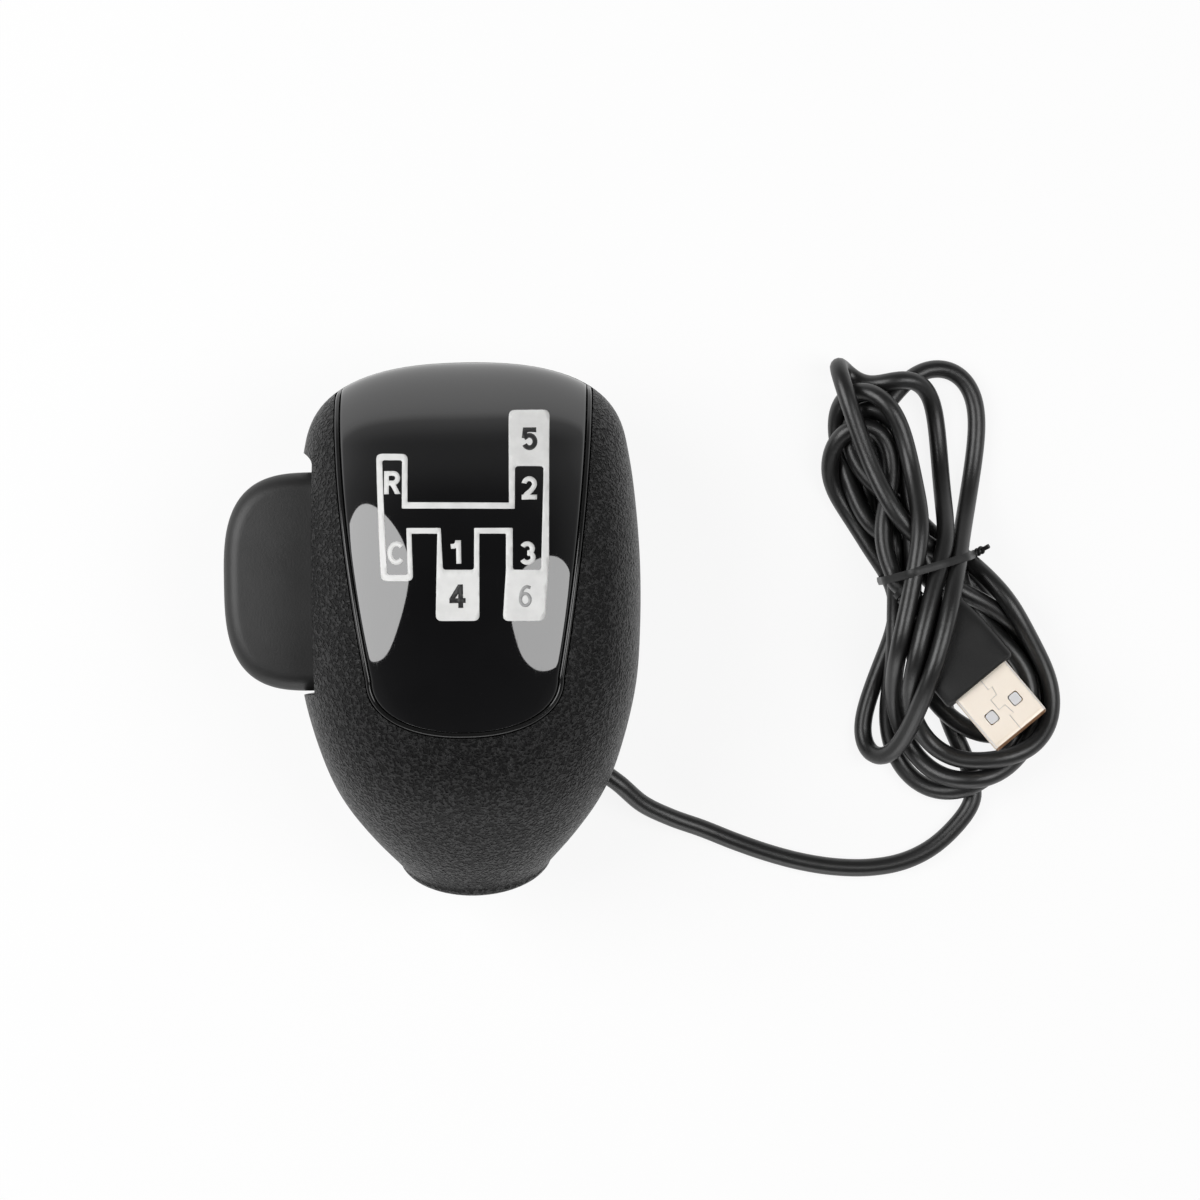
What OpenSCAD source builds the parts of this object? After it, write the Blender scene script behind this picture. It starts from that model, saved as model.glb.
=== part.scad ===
// Gear knob for driving games: a two-shell grip with a glossy shift panel,
// a range paddle on its left side and a tied cable that ends in a flat plug.
// The knob lies on its back: +Z is up, +Y runs from the neck to the front.

/* [Body] */
// Width of the knob from side to side
body_width = 63.4; // [56:0.1:80]
// Length of the knob from the neck's rim to the front
body_length = 98.6; // [86:0.1:122]
// Height of the knob from its back to its crown
body_height = 57.6; // [50:0.1:72]
// Wall of both shells
shell_wall = 2.6; // [2:0.1:3.4]
// Wall of the crown, which the panel's seat is cut into
crown_wall = 5.4; // [4.8:0.1:7]
// Gap along the seam of the two shells
seam_gap = 0.15; // [0.05:0.05:0.3]

/* [Neck] */
// Diameter of the neck's end
neck_d = 29; // [27:0.1:35]
// Round of the neck's rim
neck_lip = 2; // [1:0.1:3]
// Slope of the neck's axis, in degrees
neck_tilt = 27.5; // [22:0.5:32]
// Thickness of the neck's end, which holds the sleeve
neck_wall = 8; // [6:0.5:10]
// Bore for the lever
lever_bore_d = 13; // [10:0.1:15.6]
// Outer diameter of the lever sleeve
sleeve_d = 19; // [18:0.1:21]
// Length of the lever sleeve
sleeve_length = 28; // [23:0.5:32]
// Diameter of the sleeve's flange
flange_d = 25; // [23:0.1:28]
// Thickness of the sleeve's flange
flange_t = 2; // [1.5:0.1:3]
// Diameter of the set screws
set_screw_d = 4; // [3:0.1:5]

/* [Panel] */
// Width of the panel's place at the front
panel_top_width = 47.2; // [42:0.1:50]
// Width of the panel's place where its round end starts
panel_low_width = 35.6; // [30:0.1:40]
// Depth of the panel's round end
panel_round = 10.6; // [8:0.1:14]
// Distance from the neck's rim to the panel's round end
panel_setback = 30.2; // [27:0.1:36]
// Thickness of the panel
panel_t = 2; // [1.5:0.1:2.4]
// Width of the bead round the panel
trim_width = 0.9; // [0.7:0.1:1.5]
// Height of the bead above the panel
trim_proud = 0.2; // [0.1:0.05:0.4]
// Height of the panel's lower edge on the front
panel_skirt = 30; // [29.5:0.5:40]

/* [Paddle] */
// How far the paddle's flat is cut into the side
pocket_depth = 4.2; // [3:0.1:6]
// How far the paddle stands out from its flat
paddle_reach = 17.4; // [14:0.1:21]
// Length of the paddle
paddle_length = 40.2; // [34:0.1:44]
// Thickness of the paddle
paddle_t = 8.4; // [7:0.1:9.6]
// Round of the paddle's edge
paddle_round = 3.2; // [2:0.1:3.5]
// Diameter of the paddle's root barrel
barrel_d = 12; // [11:0.1:13]
// Diameter of the pin that the paddle turns on
pin_d = 3; // [2:0.1:3.6]
// Height of the paddle's pin above the grip's centre line
paddle_rise = 1.7; // [0:0.1:3]
// Length of the rocker arm from the pin
arm_length = 13; // [12.5:0.1:13.4]
// Thickness of the rocker arm
arm_t = 4; // [3:0.1:4.4]

/* [Switches] */
// Length of a switch, along the grip
switch_length = 12; // [10:0.5:14]
// Width of a switch
switch_width = 7; // [6:0.1:7]
// Height of a switch
switch_height = 6; // [5:0.1:6.5]
// Diameter of a switch's plunger
plunger_d = 2; // [1.5:0.1:2.5]
// Thickness of the switch bracket
bracket_t = 2; // [1.5:0.1:2.2]

/* [Board] */
// Length of the circuit board, across the grip
board_length = 36; // [30:0.5:38]
// Width of the circuit board, along the grip
board_width = 24; // [20:0.5:28]
// Thickness of the circuit board
board_t = 1.6; // [1:0.1:2]
// Height of the board above the inner face of the back
board_rise = 4.4; // [4:0.1:6]

/* [Screws] */
// Diameter of the screws that join the shells
shell_screw_d = 2.6; // [2:0.1:3]
// Head diameter of the screws that join the shells
shell_head_d = 5; // [4:0.1:5.4]
// Diameter of the posts that the screws run in
post_d = 6.8; // [6.4:0.1:7]
// Diameter of the small screws on the bracket and the board
small_screw_d = 1.8; // [1.4:0.1:2]
// Head diameter of the small screws
small_head_d = 3.4; // [3:0.1:3.8]

/* [Cable] */
// Diameter of the cable
cable_d = 3.4; // [2.8:0.1:4.1]
// Diameter of the rubber gland
gland_d = 7.2; // [6.4:0.1:8]
// Length of the rubber gland
gland_length = 9; // [8:0.5:10]
// Width of the tie round the tied cable
tie_width = 2.4; // [1.5:0.1:3]
// Thickness of the tie
tie_t = 1; // [0.6:0.1:1.2]

/* [Plug] */
// Width of the plug's metal shell
plug_width = 12; // [11.8:0.1:12.2]
// Height of the plug's metal shell
plug_height = 4.5; // [4.4:0.1:4.7]
// Length of the plug's metal shell
plug_length = 12; // [11.5:0.1:18.8]
// Sheet thickness of the metal shell
plug_sheet = 0.4; // [0.3:0.05:0.5]
// Width of the plug's grip
grip_width = 15.6; // [14:0.1:16.5]
// Thickness of the plug's grip
grip_t = 7.4; // [6.5:0.1:8]
// Length of the plug's grip
grip_length = 17; // [15:0.5:18]
// Length of the strain relief behind the grip
relief_length = 6; // [5:0.5:8]

/* [Hidden] */
$fn = 48;

// Clearances
fit = 0.05;
slack = 0.12;
running_gap = 0.5;
clear_hole = 0.3;
// How far a cut runs past a face, and past the whole knob
over = 1;
beyond = 200;

// Where the knob sits: its box, with the paddle, is centred on the origin
centre_x = (paddle_reach - pocket_depth) / 2;
half_width = body_width / 2;
half_length = body_length / 2;

// Neck's end: the rim touches the ground and sets the knob's rear end
neck_r = neck_d / 2;
rim_y = -half_length + (neck_r - neck_lip) * sin(neck_tilt) + neck_lip;
rim_z = (neck_r - neck_lip) * cos(neck_tilt) + neck_lip;
neck_end = [centre_x, rim_y - neck_lip * cos(neck_tilt), rim_z - neck_lip * sin(neck_tilt)];

// Grip sections, as shares of the body's length, height and half width:
// place along the grip, height of the centre line, lean, half width, rise to the crown, drop to the back
SECTIONS = [
    [-0.280, 0.352, 22.5, 0.789, 0.417, 0.350],
    [-0.200, 0.405, 18, 0.886, 0.490, 0.402],
    [-0.100, 0.448, 11, 0.965, 0.525, 0.448],
    [0.000, 0.469, 5, 0.994, 0.531, 0.4690],
    [0.120, 0.474, 0, 1.000, 0.522, 0.4720],
    [0.240, 0.474, 0, 0.978, 0.474, 0.4700],
    [0.340, 0.479, 0, 0.937, 0.387, 0.424],
    [0.500, 0.486, 0, 0.836, 0.217, 0.273]
];
// Shares of the neck's inner end, which lies square on the neck's axis
NECK_INNER = [0.640, 0.3385, 0.297];
// Powers of the rounded ends: across the front, and from crown to back
front_powers = [2.3, 3.2];
crown_powers = [2, 2.4];
// Power of a section at the head: above and below its centre line
crown_power = 2.6;
back_power = 2.8;
ring_points = 40;
span_steps = 3;
cap_steps = 7;

neck_row = [rim_y, rim_z, neck_tilt, neck_r, neck_r, neck_r];
inner_row = [
    rim_y + neck_wall * cos(neck_tilt), rim_z + neck_wall * sin(neck_tilt), neck_tilt,
    NECK_INNER[0] * half_width, NECK_INNER[1] * body_height, NECK_INNER[2] * body_height
];
section_rows = [for (s = SECTIONS) [
    s[0] * body_length, s[1] * body_height, s[2], s[3] * half_width, s[4] * body_height, s[5] * body_height
]];
rows = concat([neck_row, inner_row], section_rows);
last_row = len(rows) - 1;

function clamp_unit(t) = min(1, max(0, t));
function smooth(t) = let (c = clamp_unit(t)) c * c * (3 - 2 * c);
function row_at(i) = i < 0 ? 2 * rows[0] - rows[1]
    : i > last_row ? 2 * rows[last_row] - rows[last_row - 1]
    : rows[i];
function blend_rows(a, b, c, d, t) =
    0.5 * (2 * b + (c - a) * t + (2 * a - 5 * b + 4 * c - d) * t * t + (3 * b - a - 3 * c + d) * t * t * t);
function spline_row(i, t) = blend_rows(row_at(i - 1), row_at(i), row_at(i + 1), row_at(i + 2), t);
function cap_share(t, powers) = pow(max(0, 1 - pow(t, powers[1])), 1 / powers[0]);

// A section grown by the given amounts, closed towards the front by the cap's shares
function grown_row(r, sides, crown, back, t, tip) = [
    r[0] + tip * t, r[1], r[2],
    (r[3] + sides) * cap_share(t, front_powers),
    (r[4] + crown) * cap_share(t, crown_powers),
    (r[5] + back) * cap_share(t, crown_powers)
];
function head_share(y) = smooth((y - rim_y) / -rim_y);
function signed_pow(v, p) = sign(v) * pow(abs(v), p);
function section_ring(r) = let (
    up_power = 2 / (2 + (crown_power - 2) * head_share(r[0])),
    down_power = 2 / (2 + (back_power - 2) * head_share(r[0]))
) [for (k = [0:ring_points - 1]) let (
    a = -360 * k / ring_points,
    p = sin(a) < 0 ? down_power : up_power,
    side = r[3] * signed_pow(cos(a), p),
    lift = signed_pow(sin(a), p) * (sin(a) < 0 ? r[5] : r[4])
) [centre_x + side, r[0] - lift * sin(r[2]), r[1] + lift * cos(r[2])]];

function body_rows(first, sides, crown, back) = concat(
    [for (i = [first:last_row - 2]) for (k = [0:span_steps - 1])
        grown_row(spline_row(i, k / span_steps), sides, crown, back, 0, 0)],
    [for (k = [0:cap_steps - 1]) let (t = sin(90 * k / cap_steps))
        grown_row(spline_row(last_row - 1, t), sides, crown, back, t, sides)]
);
// Rings of the rounded rim, from the neck's flat end
lip_rows = [for (a = [0, 30, 60]) let (
    lip_r = neck_r - neck_lip * (1 - sin(a)),
    out = neck_lip * cos(a)
) [rim_y - out * cos(neck_tilt), rim_z - out * sin(neck_tilt), neck_tilt, lip_r, lip_r, lip_r]];

// Closed skin through rings of equal count, with a fan at each end
module skin(rings, first_centre, last_centre) {
    n = len(rings[0]);
    m = len(rings);
    points = concat([for (r = rings) for (p = r) p], [first_centre, last_centre]);
    sides = [for (i = [0:m - 2]) for (k = [0:n - 1]) let (
        a = i * n + k, b = i * n + (k + 1) % n
    ) each [[a, b + n, b], [a, a + n, b + n]]];
    first_fan = [for (k = [0:n - 1]) [m * n, k, (k + 1) % n]];
    last_fan = [for (k = [0:n - 1]) [m * n + 1, (m - 1) * n + (k + 1) % n, (m - 1) * n + k]];
    polyhedron(points = points, faces = concat(sides, first_fan, last_fan), convexity = 6);
}

// The grip's outer form, grown all round by a given amount
module grip(grow) {
    grown_lip = [for (r = lip_rows) grown_row(r, grow, grow, grow, 0, 0)];
    all_rows = concat(grown_lip, body_rows(0, grow, grow, grow));
    tip = [centre_x, half_length + grow, rows[last_row][1]];
    skin([for (r = all_rows) section_ring(r)], neck_end, tip);
}

// Hollow of the grip, which starts at the inner face of the neck's end
module hollow() {
    hollow_rows = body_rows(1, -shell_wall, -crown_wall, -shell_wall);
    start = [centre_x, inner_row[0], inner_row[1]];
    tip = [centre_x, half_length - shell_wall, rows[last_row][1]];
    difference() {
        skin([for (r = hollow_rows) section_ring(r)], start, tip);
        paddle_pocket(shell_wall);
    }
}

// The shells part along a plane from the neck's centre to the front
seam_tilt = atan2(rows[last_row][1] - rim_z, half_length - rim_y);
module above_seam(gap) {
    translate([0, rim_y, rim_z + gap / 2]) rotate([seam_tilt, 0, 0])
        translate([-beyond, -beyond, 0]) cube([2 * beyond, 2 * beyond, beyond]);
}

// Paddle: pin's place, and the flat that the paddle comes out of
pocket_x = centre_x - half_width + pocket_depth;
barrel_r = barrel_d / 2;
pin_r = pin_d / 2;
pin_inset = 2.9;
pin_x = pocket_x + shell_wall + pin_inset;
widest_row = rows[6];
pin_z = widest_row[1] + paddle_rise;
paddle_setback = 2.4;
paddle_y = widest_row[0] - paddle_setback;
paddle_half = paddle_length / 2;
pocket_margin = 0.8;
pocket_half = paddle_half + pocket_margin;
pocket_ramp = 4.5;
pocket_flare = 2;
ramp_steps = 6;

module paddle_pocket(wall) {
    flare = pocket_depth + wall + pocket_flare;
    edge = [for (k = [0:ramp_steps]) let (t = k / ramp_steps)
        [pocket_x + wall - flare * t * t, pocket_half + wall + pocket_ramp * t]];
    upper = [for (p = edge) [p[0], paddle_y + p[1]]];
    lower = [for (k = [ramp_steps:-1:0]) [edge[k][0], paddle_y - edge[k][1]]];
    far = pocket_x - beyond / 2;
    outline = concat(upper, [[far, upper[ramp_steps][1]], [far, lower[0][1]]], lower);
    translate([0, 0, -beyond / 2]) linear_extrude(beyond) polygon(outline);
}

// Opening in the flat that the paddle's barrel fills
slot_outside = 10;
slot_inside = 4;
module paddle_slot() {
    slot = [
        slot_outside + shell_wall + slot_inside, paddle_length + 2 * running_gap, barrel_d + 2 * running_gap
    ];
    translate([pocket_x - slot_outside, paddle_y - slot[1] / 2, pin_z - slot[2] / 2]) cube(slot);
}

// Panel outline: bowed sides down to a round end
panel_end_y = -half_length + panel_setback;
panel_low_y = panel_end_y + panel_round;
panel_straight = 6;
panel_top_y = half_length - panel_straight;
panel_past_front = 10;
panel_bow = 1.6;
panel_end_power = 2.2;
seat_depth = panel_t + slack;
side_steps = 10;
end_steps = 8;
function panel_half(y) = let (t = (y - panel_low_y) / (panel_top_y - panel_low_y))
    panel_low_width / 2 + (panel_top_width - panel_low_width) / 2 * (1 - pow(max(0, 1 - t), panel_bow));
function panel_side(inset) = concat(
    [[panel_top_width / 2 - inset, half_length + panel_past_front]],
    [for (k = [side_steps:-1:1]) let (y = panel_low_y + (panel_top_y - panel_low_y) * k / side_steps)
        [panel_half(y) - inset, y]],
    [for (k = [0:end_steps - 1]) let (a = 90 * k / end_steps, p = 2 / panel_end_power) [
        (panel_low_width / 2 - inset) * pow(cos(a), p),
        panel_low_y - (panel_round - inset) * pow(sin(a), p)
    ]]
);
module panel_prism(inset, bottom) {
    side = panel_side(inset);
    last = len(side) - 1;
    mirrored = [for (k = [last:-1:0]) [-side[k][0], side[k][1]]];
    outline = concat(side, [[0, panel_end_y + inset]], mirrored);
    translate([centre_x, 0, bottom]) linear_extrude(beyond) polygon(outline);
}
module panel_layer(inset, bottom, outer, inner) {
    intersection() {
        difference() {
            grip(outer);
            grip(inner);
        }
        panel_prism(inset, bottom);
    }
}

// Neck's own frame: +Z runs into the grip, +Y towards its back
module neck_frame() {
    translate(neck_end) rotate([neck_tilt - 90, 0, 0]) children();
}
set_screw_angles = [-40, 40];
set_screw_place = 5.5;
set_screw_length = 5;
set_screw_gap = 0.2;
// Hole for the sleeve, turned so that its starting edge lies between two edges of the hollow
sleeve_hole_turn = 4;
module sleeve_hole() {
    neck_frame() rotate([0, 0, sleeve_hole_turn]) translate([0, 0, -over])
        cylinder(d = sleeve_d + 2 * fit, h = sleeve_length + 2 * over);
}
module at_set_screws() {
    for (a = set_screw_angles) neck_frame() rotate([0, 0, a]) translate([0, 0, set_screw_place])
        rotate([-90, 0, 0]) children();
}

// Bracket that carries the pin and the two switches
ear_gap = 0.8;
ear_in = paddle_half + ear_gap;
bracket_half = ear_in + bracket_t;
ear_half = 4.5;
back_reach = 20.7;
back_x = pin_x + back_reach;
shelf_reach = 6.2;
shelf_x = pin_x + shelf_reach;
switch_reach = 10;
switch_x = pin_x + switch_reach;
upper_switch_rise = 5;
upper_switch_z = pin_z + upper_switch_rise;
upper_shelf_z = upper_switch_z + switch_height;
lower_switch_drop = 5.8;
lower_switch_z = pin_z - lower_switch_drop;
lower_shelf_z = lower_switch_z - switch_height - bracket_t;
flange_width = 8.8;
flange_half = 4;
flange_place = 16;
flange_screw_x = back_x + bracket_t + flange_width / 2;
bracket_top = upper_shelf_z + bracket_t;
small_head_t = 1.4;
small_screw_length = 7;
module at_bracket_screws() {
    for (s = [-1, 1]) translate([flange_screw_x, paddle_y + s * flange_place, upper_shelf_z]) children();
}

// Screws that join the shells: two behind the front and two behind the paddle
front_screw_side = 13;
front_screw_y = half_length - 12.6;
front_seat_z = 15;
rear_screw_sides = [-15, 21];
rear_screw_y = [paddle_y - bracket_half - 4.5, paddle_y - bracket_half + 1.6];
rear_seat_z = 9;
shell_screws_at = concat(
    [for (s = [-1, 1]) [centre_x + s * front_screw_side, front_screw_y, front_seat_z]],
    [for (k = [0, 1]) [centre_x + rear_screw_sides[k], rear_screw_y[k], rear_seat_z]]
);
shell_screw_length = 18;
shell_head_t = 2.2;
module at_shell_screws() {
    for (p = shell_screws_at) translate(p) children();
}

// Board, on posts on the inner face of the back
board_z = shell_wall + board_rise;
board_shift = [1, 3.6];
board_centre = [centre_x + board_shift[0], paddle_y + board_shift[1]];
board_hole_in = 2.6;
board_post_d = 5;
module at_board_holes(z) {
    for (sx = [-1, 1]) for (sy = [-1, 1])
        translate([
            board_centre[0] + sx * (board_length / 2 - board_hole_in),
            board_centre[1] + sy * (board_width / 2 - board_hole_in), z
        ]) children();
}

// Gland, low on the right side, and the way the cable leaves it
// Shares of the half width, the length and the height
GLAND_SHARES = [0.7224, -0.2688, 0.1476];
gland_at = [
    centre_x + GLAND_SHARES[0] * half_width, GLAND_SHARES[1] * body_length, GLAND_SHARES[2] * body_height
];
gland_turn = -38;
gland_drop = 9;
gland_post_d = gland_d + 4;
gland_post_past = 5;
gland_way = [cos(gland_turn) * cos(gland_drop), sin(gland_turn) * cos(gland_drop), -sin(gland_drop)];
cable_r = cable_d / 2;
module gland_frame() {
    translate(gland_at) rotate([0, 90 + gland_drop, gland_turn]) children();
}

// Route of the free cable on the ground, which it comes down to from the gland;
// its near end goes with the gland's place
gland_exit = 6;
GLAND_DRAWN = [29.5, -26.5];
LEAD_FALL = [[38.3, -33.9, 5.5], [43.7, -36.7, 3.4], [49.7, -39.0, 2.1]];
LEAD_GROUND = [
    [55.9, -41.6], [62.2, -43.9], [68.6, -45.7], [75.1, -46.8],
    [81.6, -47.0], [87.6, -45.9], [93.2, -43.5], [98.8, -39.4]
];
lead_drawn = concat(LEAD_FALL, [for (p = LEAD_GROUND) [p[0], p[1], cable_r]]);
lead_drift = [gland_at[0] - GLAND_DRAWN[0], gland_at[1] - GLAND_DRAWN[1], 0];
lead_count = len(lead_drawn);
lead_points = concat(
    [gland_at, gland_at + gland_exit * gland_way],
    [for (i = [0:lead_count - 1]) lead_drawn[i] + (1 - i / lead_count) * lead_drift]
);

// Tied loops: a drawn-in waist between two unequal lobes, wound in and then out again
hank_centre = [94.1, 10.3];
hank_lean = 12;
hank_turns = 3.5;
upper_lobe = 39;
lower_lobe = 43;
upper_swell = 26;
lower_swell = 36;
hank_step = cable_d + 0.8;
waist_half = 2.3 * hank_step;
layer_rise = cable_d + 0.7;
waist_lift = tie_t + 0.4;
waist_spread = 9;
hank_start = 12;
hank_end = 1292;
hank_ring_turn = 15;
function hank_inward(turn) = min(turn, hank_turns - turn);
function hank_layer(turn) = smooth((turn - hank_turns / 2) * 2 + 0.5);
function hank_outer(phi) = let (
    low = cos(phi) > 0,
    swell = low ? lower_swell : upper_swell
) [sin(phi) * (waist_half + swell * cos(phi) * cos(phi)), -(low ? lower_lobe : upper_lobe) * cos(phi)];
function hank_local(phi) = let (
    way = unit(hank_outer(phi + 1) - hank_outer(phi - 1)),
    flat = hank_outer(phi) - hank_step * hank_inward(phi / 360) * [way[1], -way[0]]
) [
    flat[0], flat[1],
    cable_r + waist_lift * exp(-pow(flat[1] / waist_spread, 2)) + layer_rise * hank_layer(phi / 360)
];
function hank_place(p) = [
    hank_centre[0] + p[0] * cos(hank_lean) - p[1] * sin(hank_lean),
    hank_centre[1] + p[0] * sin(hank_lean) + p[1] * cos(hank_lean), p[2]
];
function hank_point(phi) = hank_place(hank_local(phi));
function unit(v) = v / norm(v);

// Plug: it lies on the loops, its nose to the lower right and a little up
plug_turn = -51.5;
plug_rise = 8;
plug_at = [102, -11.5, 15.6];
plug_way = [cos(plug_turn) * cos(plug_rise), sin(plug_turn) * cos(plug_rise), sin(plug_rise)];
tail_end = plug_at - (grip_length + relief_length) * plug_way;
module plug_frame() {
    translate(plug_at) rotate([0, 90 - plug_rise, plug_turn]) children();
}

// The tail rises from the last loop to the plug, the lead's end runs into the first loop
tail_start = hank_point(hank_end);
tail_pull = 34;
tail_from = tail_pull * unit(hank_point(hank_end) - hank_point(hank_end - 2));
tail_to = tail_pull * plug_way;
tail_steps = 8;
function tail_point(t) =
    (2 * t * t * t - 3 * t * t + 1) * tail_start + (t * t * t - 2 * t * t + t) * tail_from
    + (3 * t * t - 2 * t * t * t) * tail_end + (t * t * t - t * t) * tail_to;
hank_first = hank_point(hank_start);
hank_first_way = unit(hank_point(hank_start + 2) - hank_first);
function hank_route(turn_step, rise_steps) = concat(
    [hank_first - cable_d * hank_first_way],
    [for (phi = [hank_start:turn_step:hank_end - 1]) hank_point(phi)],
    [for (k = [0:rise_steps - 1]) tail_point(k / rise_steps)],
    [tail_end - cable_d * plug_way, tail_end]
);
lead_route = concat(lead_points, [for (k = [2, 1]) hank_first - k * cable_d * hank_first_way]);

// Least gap of the tied cable to itself, on points that lie over five diameters apart along it
gap_points = hank_route(5, 12);
gap_skip = 10;
gap_last = len(gap_points) - 1;
hank_gap = min([for (i = [0:gap_last - gap_skip]) for (j = [i + gap_skip:gap_last])
    norm(gap_points[i] - gap_points[j])]) - cable_d;
echo(least_gap_of_tied_cable_mm = hank_gap);

// Tube of flat-sided rings along a route, square at both ends
function route_way(points, i) = let (last = len(points) - 1)
    unit(points[min(i + 1, last)] - points[max(i - 1, 0)]);
function tube_ring(centre, way, radius, sides, upright) = let (
    across = unit(cross(upright, way)),
    over = cross(way, across)
) [for (k = [0:sides - 1]) let (a = 360 * k / sides) centre + radius * (cos(a) * across + sin(a) * over)];
module tube(points, diameter, sides, upright) {
    last = len(points) - 1;
    rings = [for (i = [0:last]) tube_ring(points[i], route_way(points, i), diameter / 2, sides, upright)];
    skin(rings, points[0], points[last]);
}

module top_shell() {
    color("#1d1d1e") difference() {
        intersection() {
            grip(0);
            above_seam(seam_gap);
        }
        difference() {
            hollow();
            at_shell_screws() cylinder(d = post_d, h = beyond);
            at_bracket_screws() translate([0, 0, bracket_t]) cylinder(d = post_d, h = beyond);
        }
        paddle_pocket(0);
        paddle_slot();
        difference() {
            panel_prism(0, panel_skirt - slack);
            grip(-seat_depth);
        }
        at_shell_screws() cylinder(d = shell_screw_d + 2 * fit, h = shell_screw_length + over);
        at_bracket_screws() cylinder(d = small_screw_d + 2 * fit, h = small_screw_length + over / 2);
        sleeve_hole();
    }
}

module rear_shell() {
    color("#1b1b1c") difference() {
        grip(0);
        above_seam(-seam_gap);
        difference() {
            hollow();
            at_shell_screws() translate([0, 0, -beyond / 2]) cylinder(d = post_d, h = beyond);
            at_board_holes(board_z - beyond) cylinder(d = board_post_d, h = beyond);
            gland_frame() translate([0, 0, -gland_length])
                cylinder(d = gland_post_d, h = gland_length + gland_post_past);
        }
        paddle_pocket(0);
        paddle_slot();
        at_shell_screws() {
            translate([0, 0, -beyond]) cylinder(d = shell_head_d + 2 * running_gap, h = beyond);
            translate([0, 0, -over]) cylinder(d = shell_screw_d + 2 * fit, h = shell_screw_length);
        }
        at_board_holes(shell_wall) cylinder(d = small_screw_d + 2 * fit, h = board_rise + over);
        gland_frame() translate([0, 0, -2 * gland_length])
            cylinder(d = gland_d + 2 * fit, h = 4 * gland_length);
        sleeve_hole();
        at_set_screws() cylinder(d = set_screw_d + 2 * fit, h = neck_d);
    }
}

module face_panel() {
    color("#0a0a0b") panel_layer(trim_width + 2 * slack, panel_skirt, 0, -panel_t);
}

module panel_trim() {
    color("#121213") difference() {
        panel_layer(slack, panel_skirt, trim_proud, -panel_t);
        panel_prism(slack + trim_width, 0);
    }
}

module lever_sleeve() {
    color("#b9bcc0") difference() {
        union() {
            neck_frame() cylinder(d = sleeve_d, h = sleeve_length);
            neck_frame() translate([0, 0, neck_lip + neck_wall + fit]) cylinder(d = flange_d, h = flange_t);
        }
        neck_frame() translate([0, 0, -over]) cylinder(d = lever_bore_d, h = sleeve_length + 2 * over);
        at_set_screws() cylinder(d = set_screw_d + 2 * fit, h = sleeve_d);
    }
}

module set_screws() {
    socket_d = set_screw_d / 2;
    socket_depth = 2;
    start = lever_bore_d / 2 + set_screw_gap;
    color("#3a3a3c") at_set_screws() translate([0, 0, start]) difference() {
        cylinder(d = set_screw_d, h = set_screw_length);
        translate([0, 0, set_screw_length - socket_depth])
            cylinder(d = socket_d, h = socket_depth + over, $fn = 6);
    }
}

// Paddle's plan: half of a squarish oval, drawn in by an inset
paddle_power = 3;
paddle_steps = 24;
paddle_root = 3;
paddle_root_x = pin_x - paddle_root;
paddle_gap = 0.4;
edge_angles = [-90, -60, -30, 0, 30, 60, 90];
function paddle_ring(angle) = let (
    inset = paddle_round * (1 - cos(angle)),
    lift = (paddle_t / 2 - paddle_round) * sign(angle) + paddle_round * sin(angle),
    p = 2 / paddle_power
) concat(
    [for (k = [0:paddle_steps]) let (a = 180 * k / paddle_steps) [
        pocket_x - paddle_gap - (paddle_reach - paddle_gap - inset) * pow(abs(sin(a)), p),
        paddle_y + (paddle_half - inset) * signed_pow(cos(a), p), pin_z + lift
    ]],
    [for (s = [-1, 1]) [paddle_root_x, paddle_y + s * (paddle_half - inset), pin_z + lift]]
);
module range_paddle() {
    middle = [pocket_x - paddle_reach / 2, paddle_y, pin_z];
    to_face = [0, 0, paddle_t / 2];
    arm_half = 5;
    color("#232325") difference() {
        union() {
            skin([for (a = edge_angles) paddle_ring(a)], middle - to_face, middle + to_face);
            translate([pin_x, paddle_y + paddle_half, pin_z]) rotate([90, 0, 0])
                cylinder(d = barrel_d, h = paddle_length);
            translate([pin_x, paddle_y - arm_half, pin_z - arm_t / 2])
                cube([arm_length, 2 * arm_half, arm_t]);
        }
        translate([pin_x, paddle_y + beyond / 2, pin_z]) rotate([90, 0, 0])
            cylinder(d = pin_d + 2 * fit, h = beyond);
    }
}

module paddle_pin() {
    color("#c4c6c9") translate([pin_x, paddle_y + bracket_half, pin_z]) rotate([90, 0, 0])
        cylinder(d = pin_d, h = 2 * bracket_half);
}

module switch_bracket() {
    ear_front = 2.5;
    shelf_margin = 1;
    ear_length = back_x - pin_x + ear_front + bracket_t;
    shelf_half = switch_length / 2 + shelf_margin;
    color("#4a4d50") difference() {
        union() {
            translate([back_x, paddle_y - bracket_half, lower_shelf_z])
                cube([bracket_t, 2 * bracket_half, bracket_top - lower_shelf_z]);
            for (y = [-bracket_half, ear_in])
                translate([pin_x - ear_front, paddle_y + y, pin_z - ear_half])
                    cube([ear_length, bracket_t, 2 * ear_half]);
            for (z = [lower_shelf_z, upper_shelf_z]) translate([shelf_x, paddle_y - shelf_half, z])
                cube([back_x - shelf_x + bracket_t, 2 * shelf_half, bracket_t]);
            for (s = [-1, 1])
                translate([back_x, paddle_y + s * flange_place - flange_half, upper_shelf_z])
                    cube([flange_width + bracket_t, 2 * flange_half, bracket_t]);
        }
        translate([pin_x, paddle_y + beyond / 2, pin_z]) rotate([90, 0, 0])
            cylinder(d = pin_d + fit, h = beyond);
        at_bracket_screws() translate([0, 0, -over])
            cylinder(d = small_screw_d + clear_hole, h = bracket_t + 2 * over);
    }
}

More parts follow.
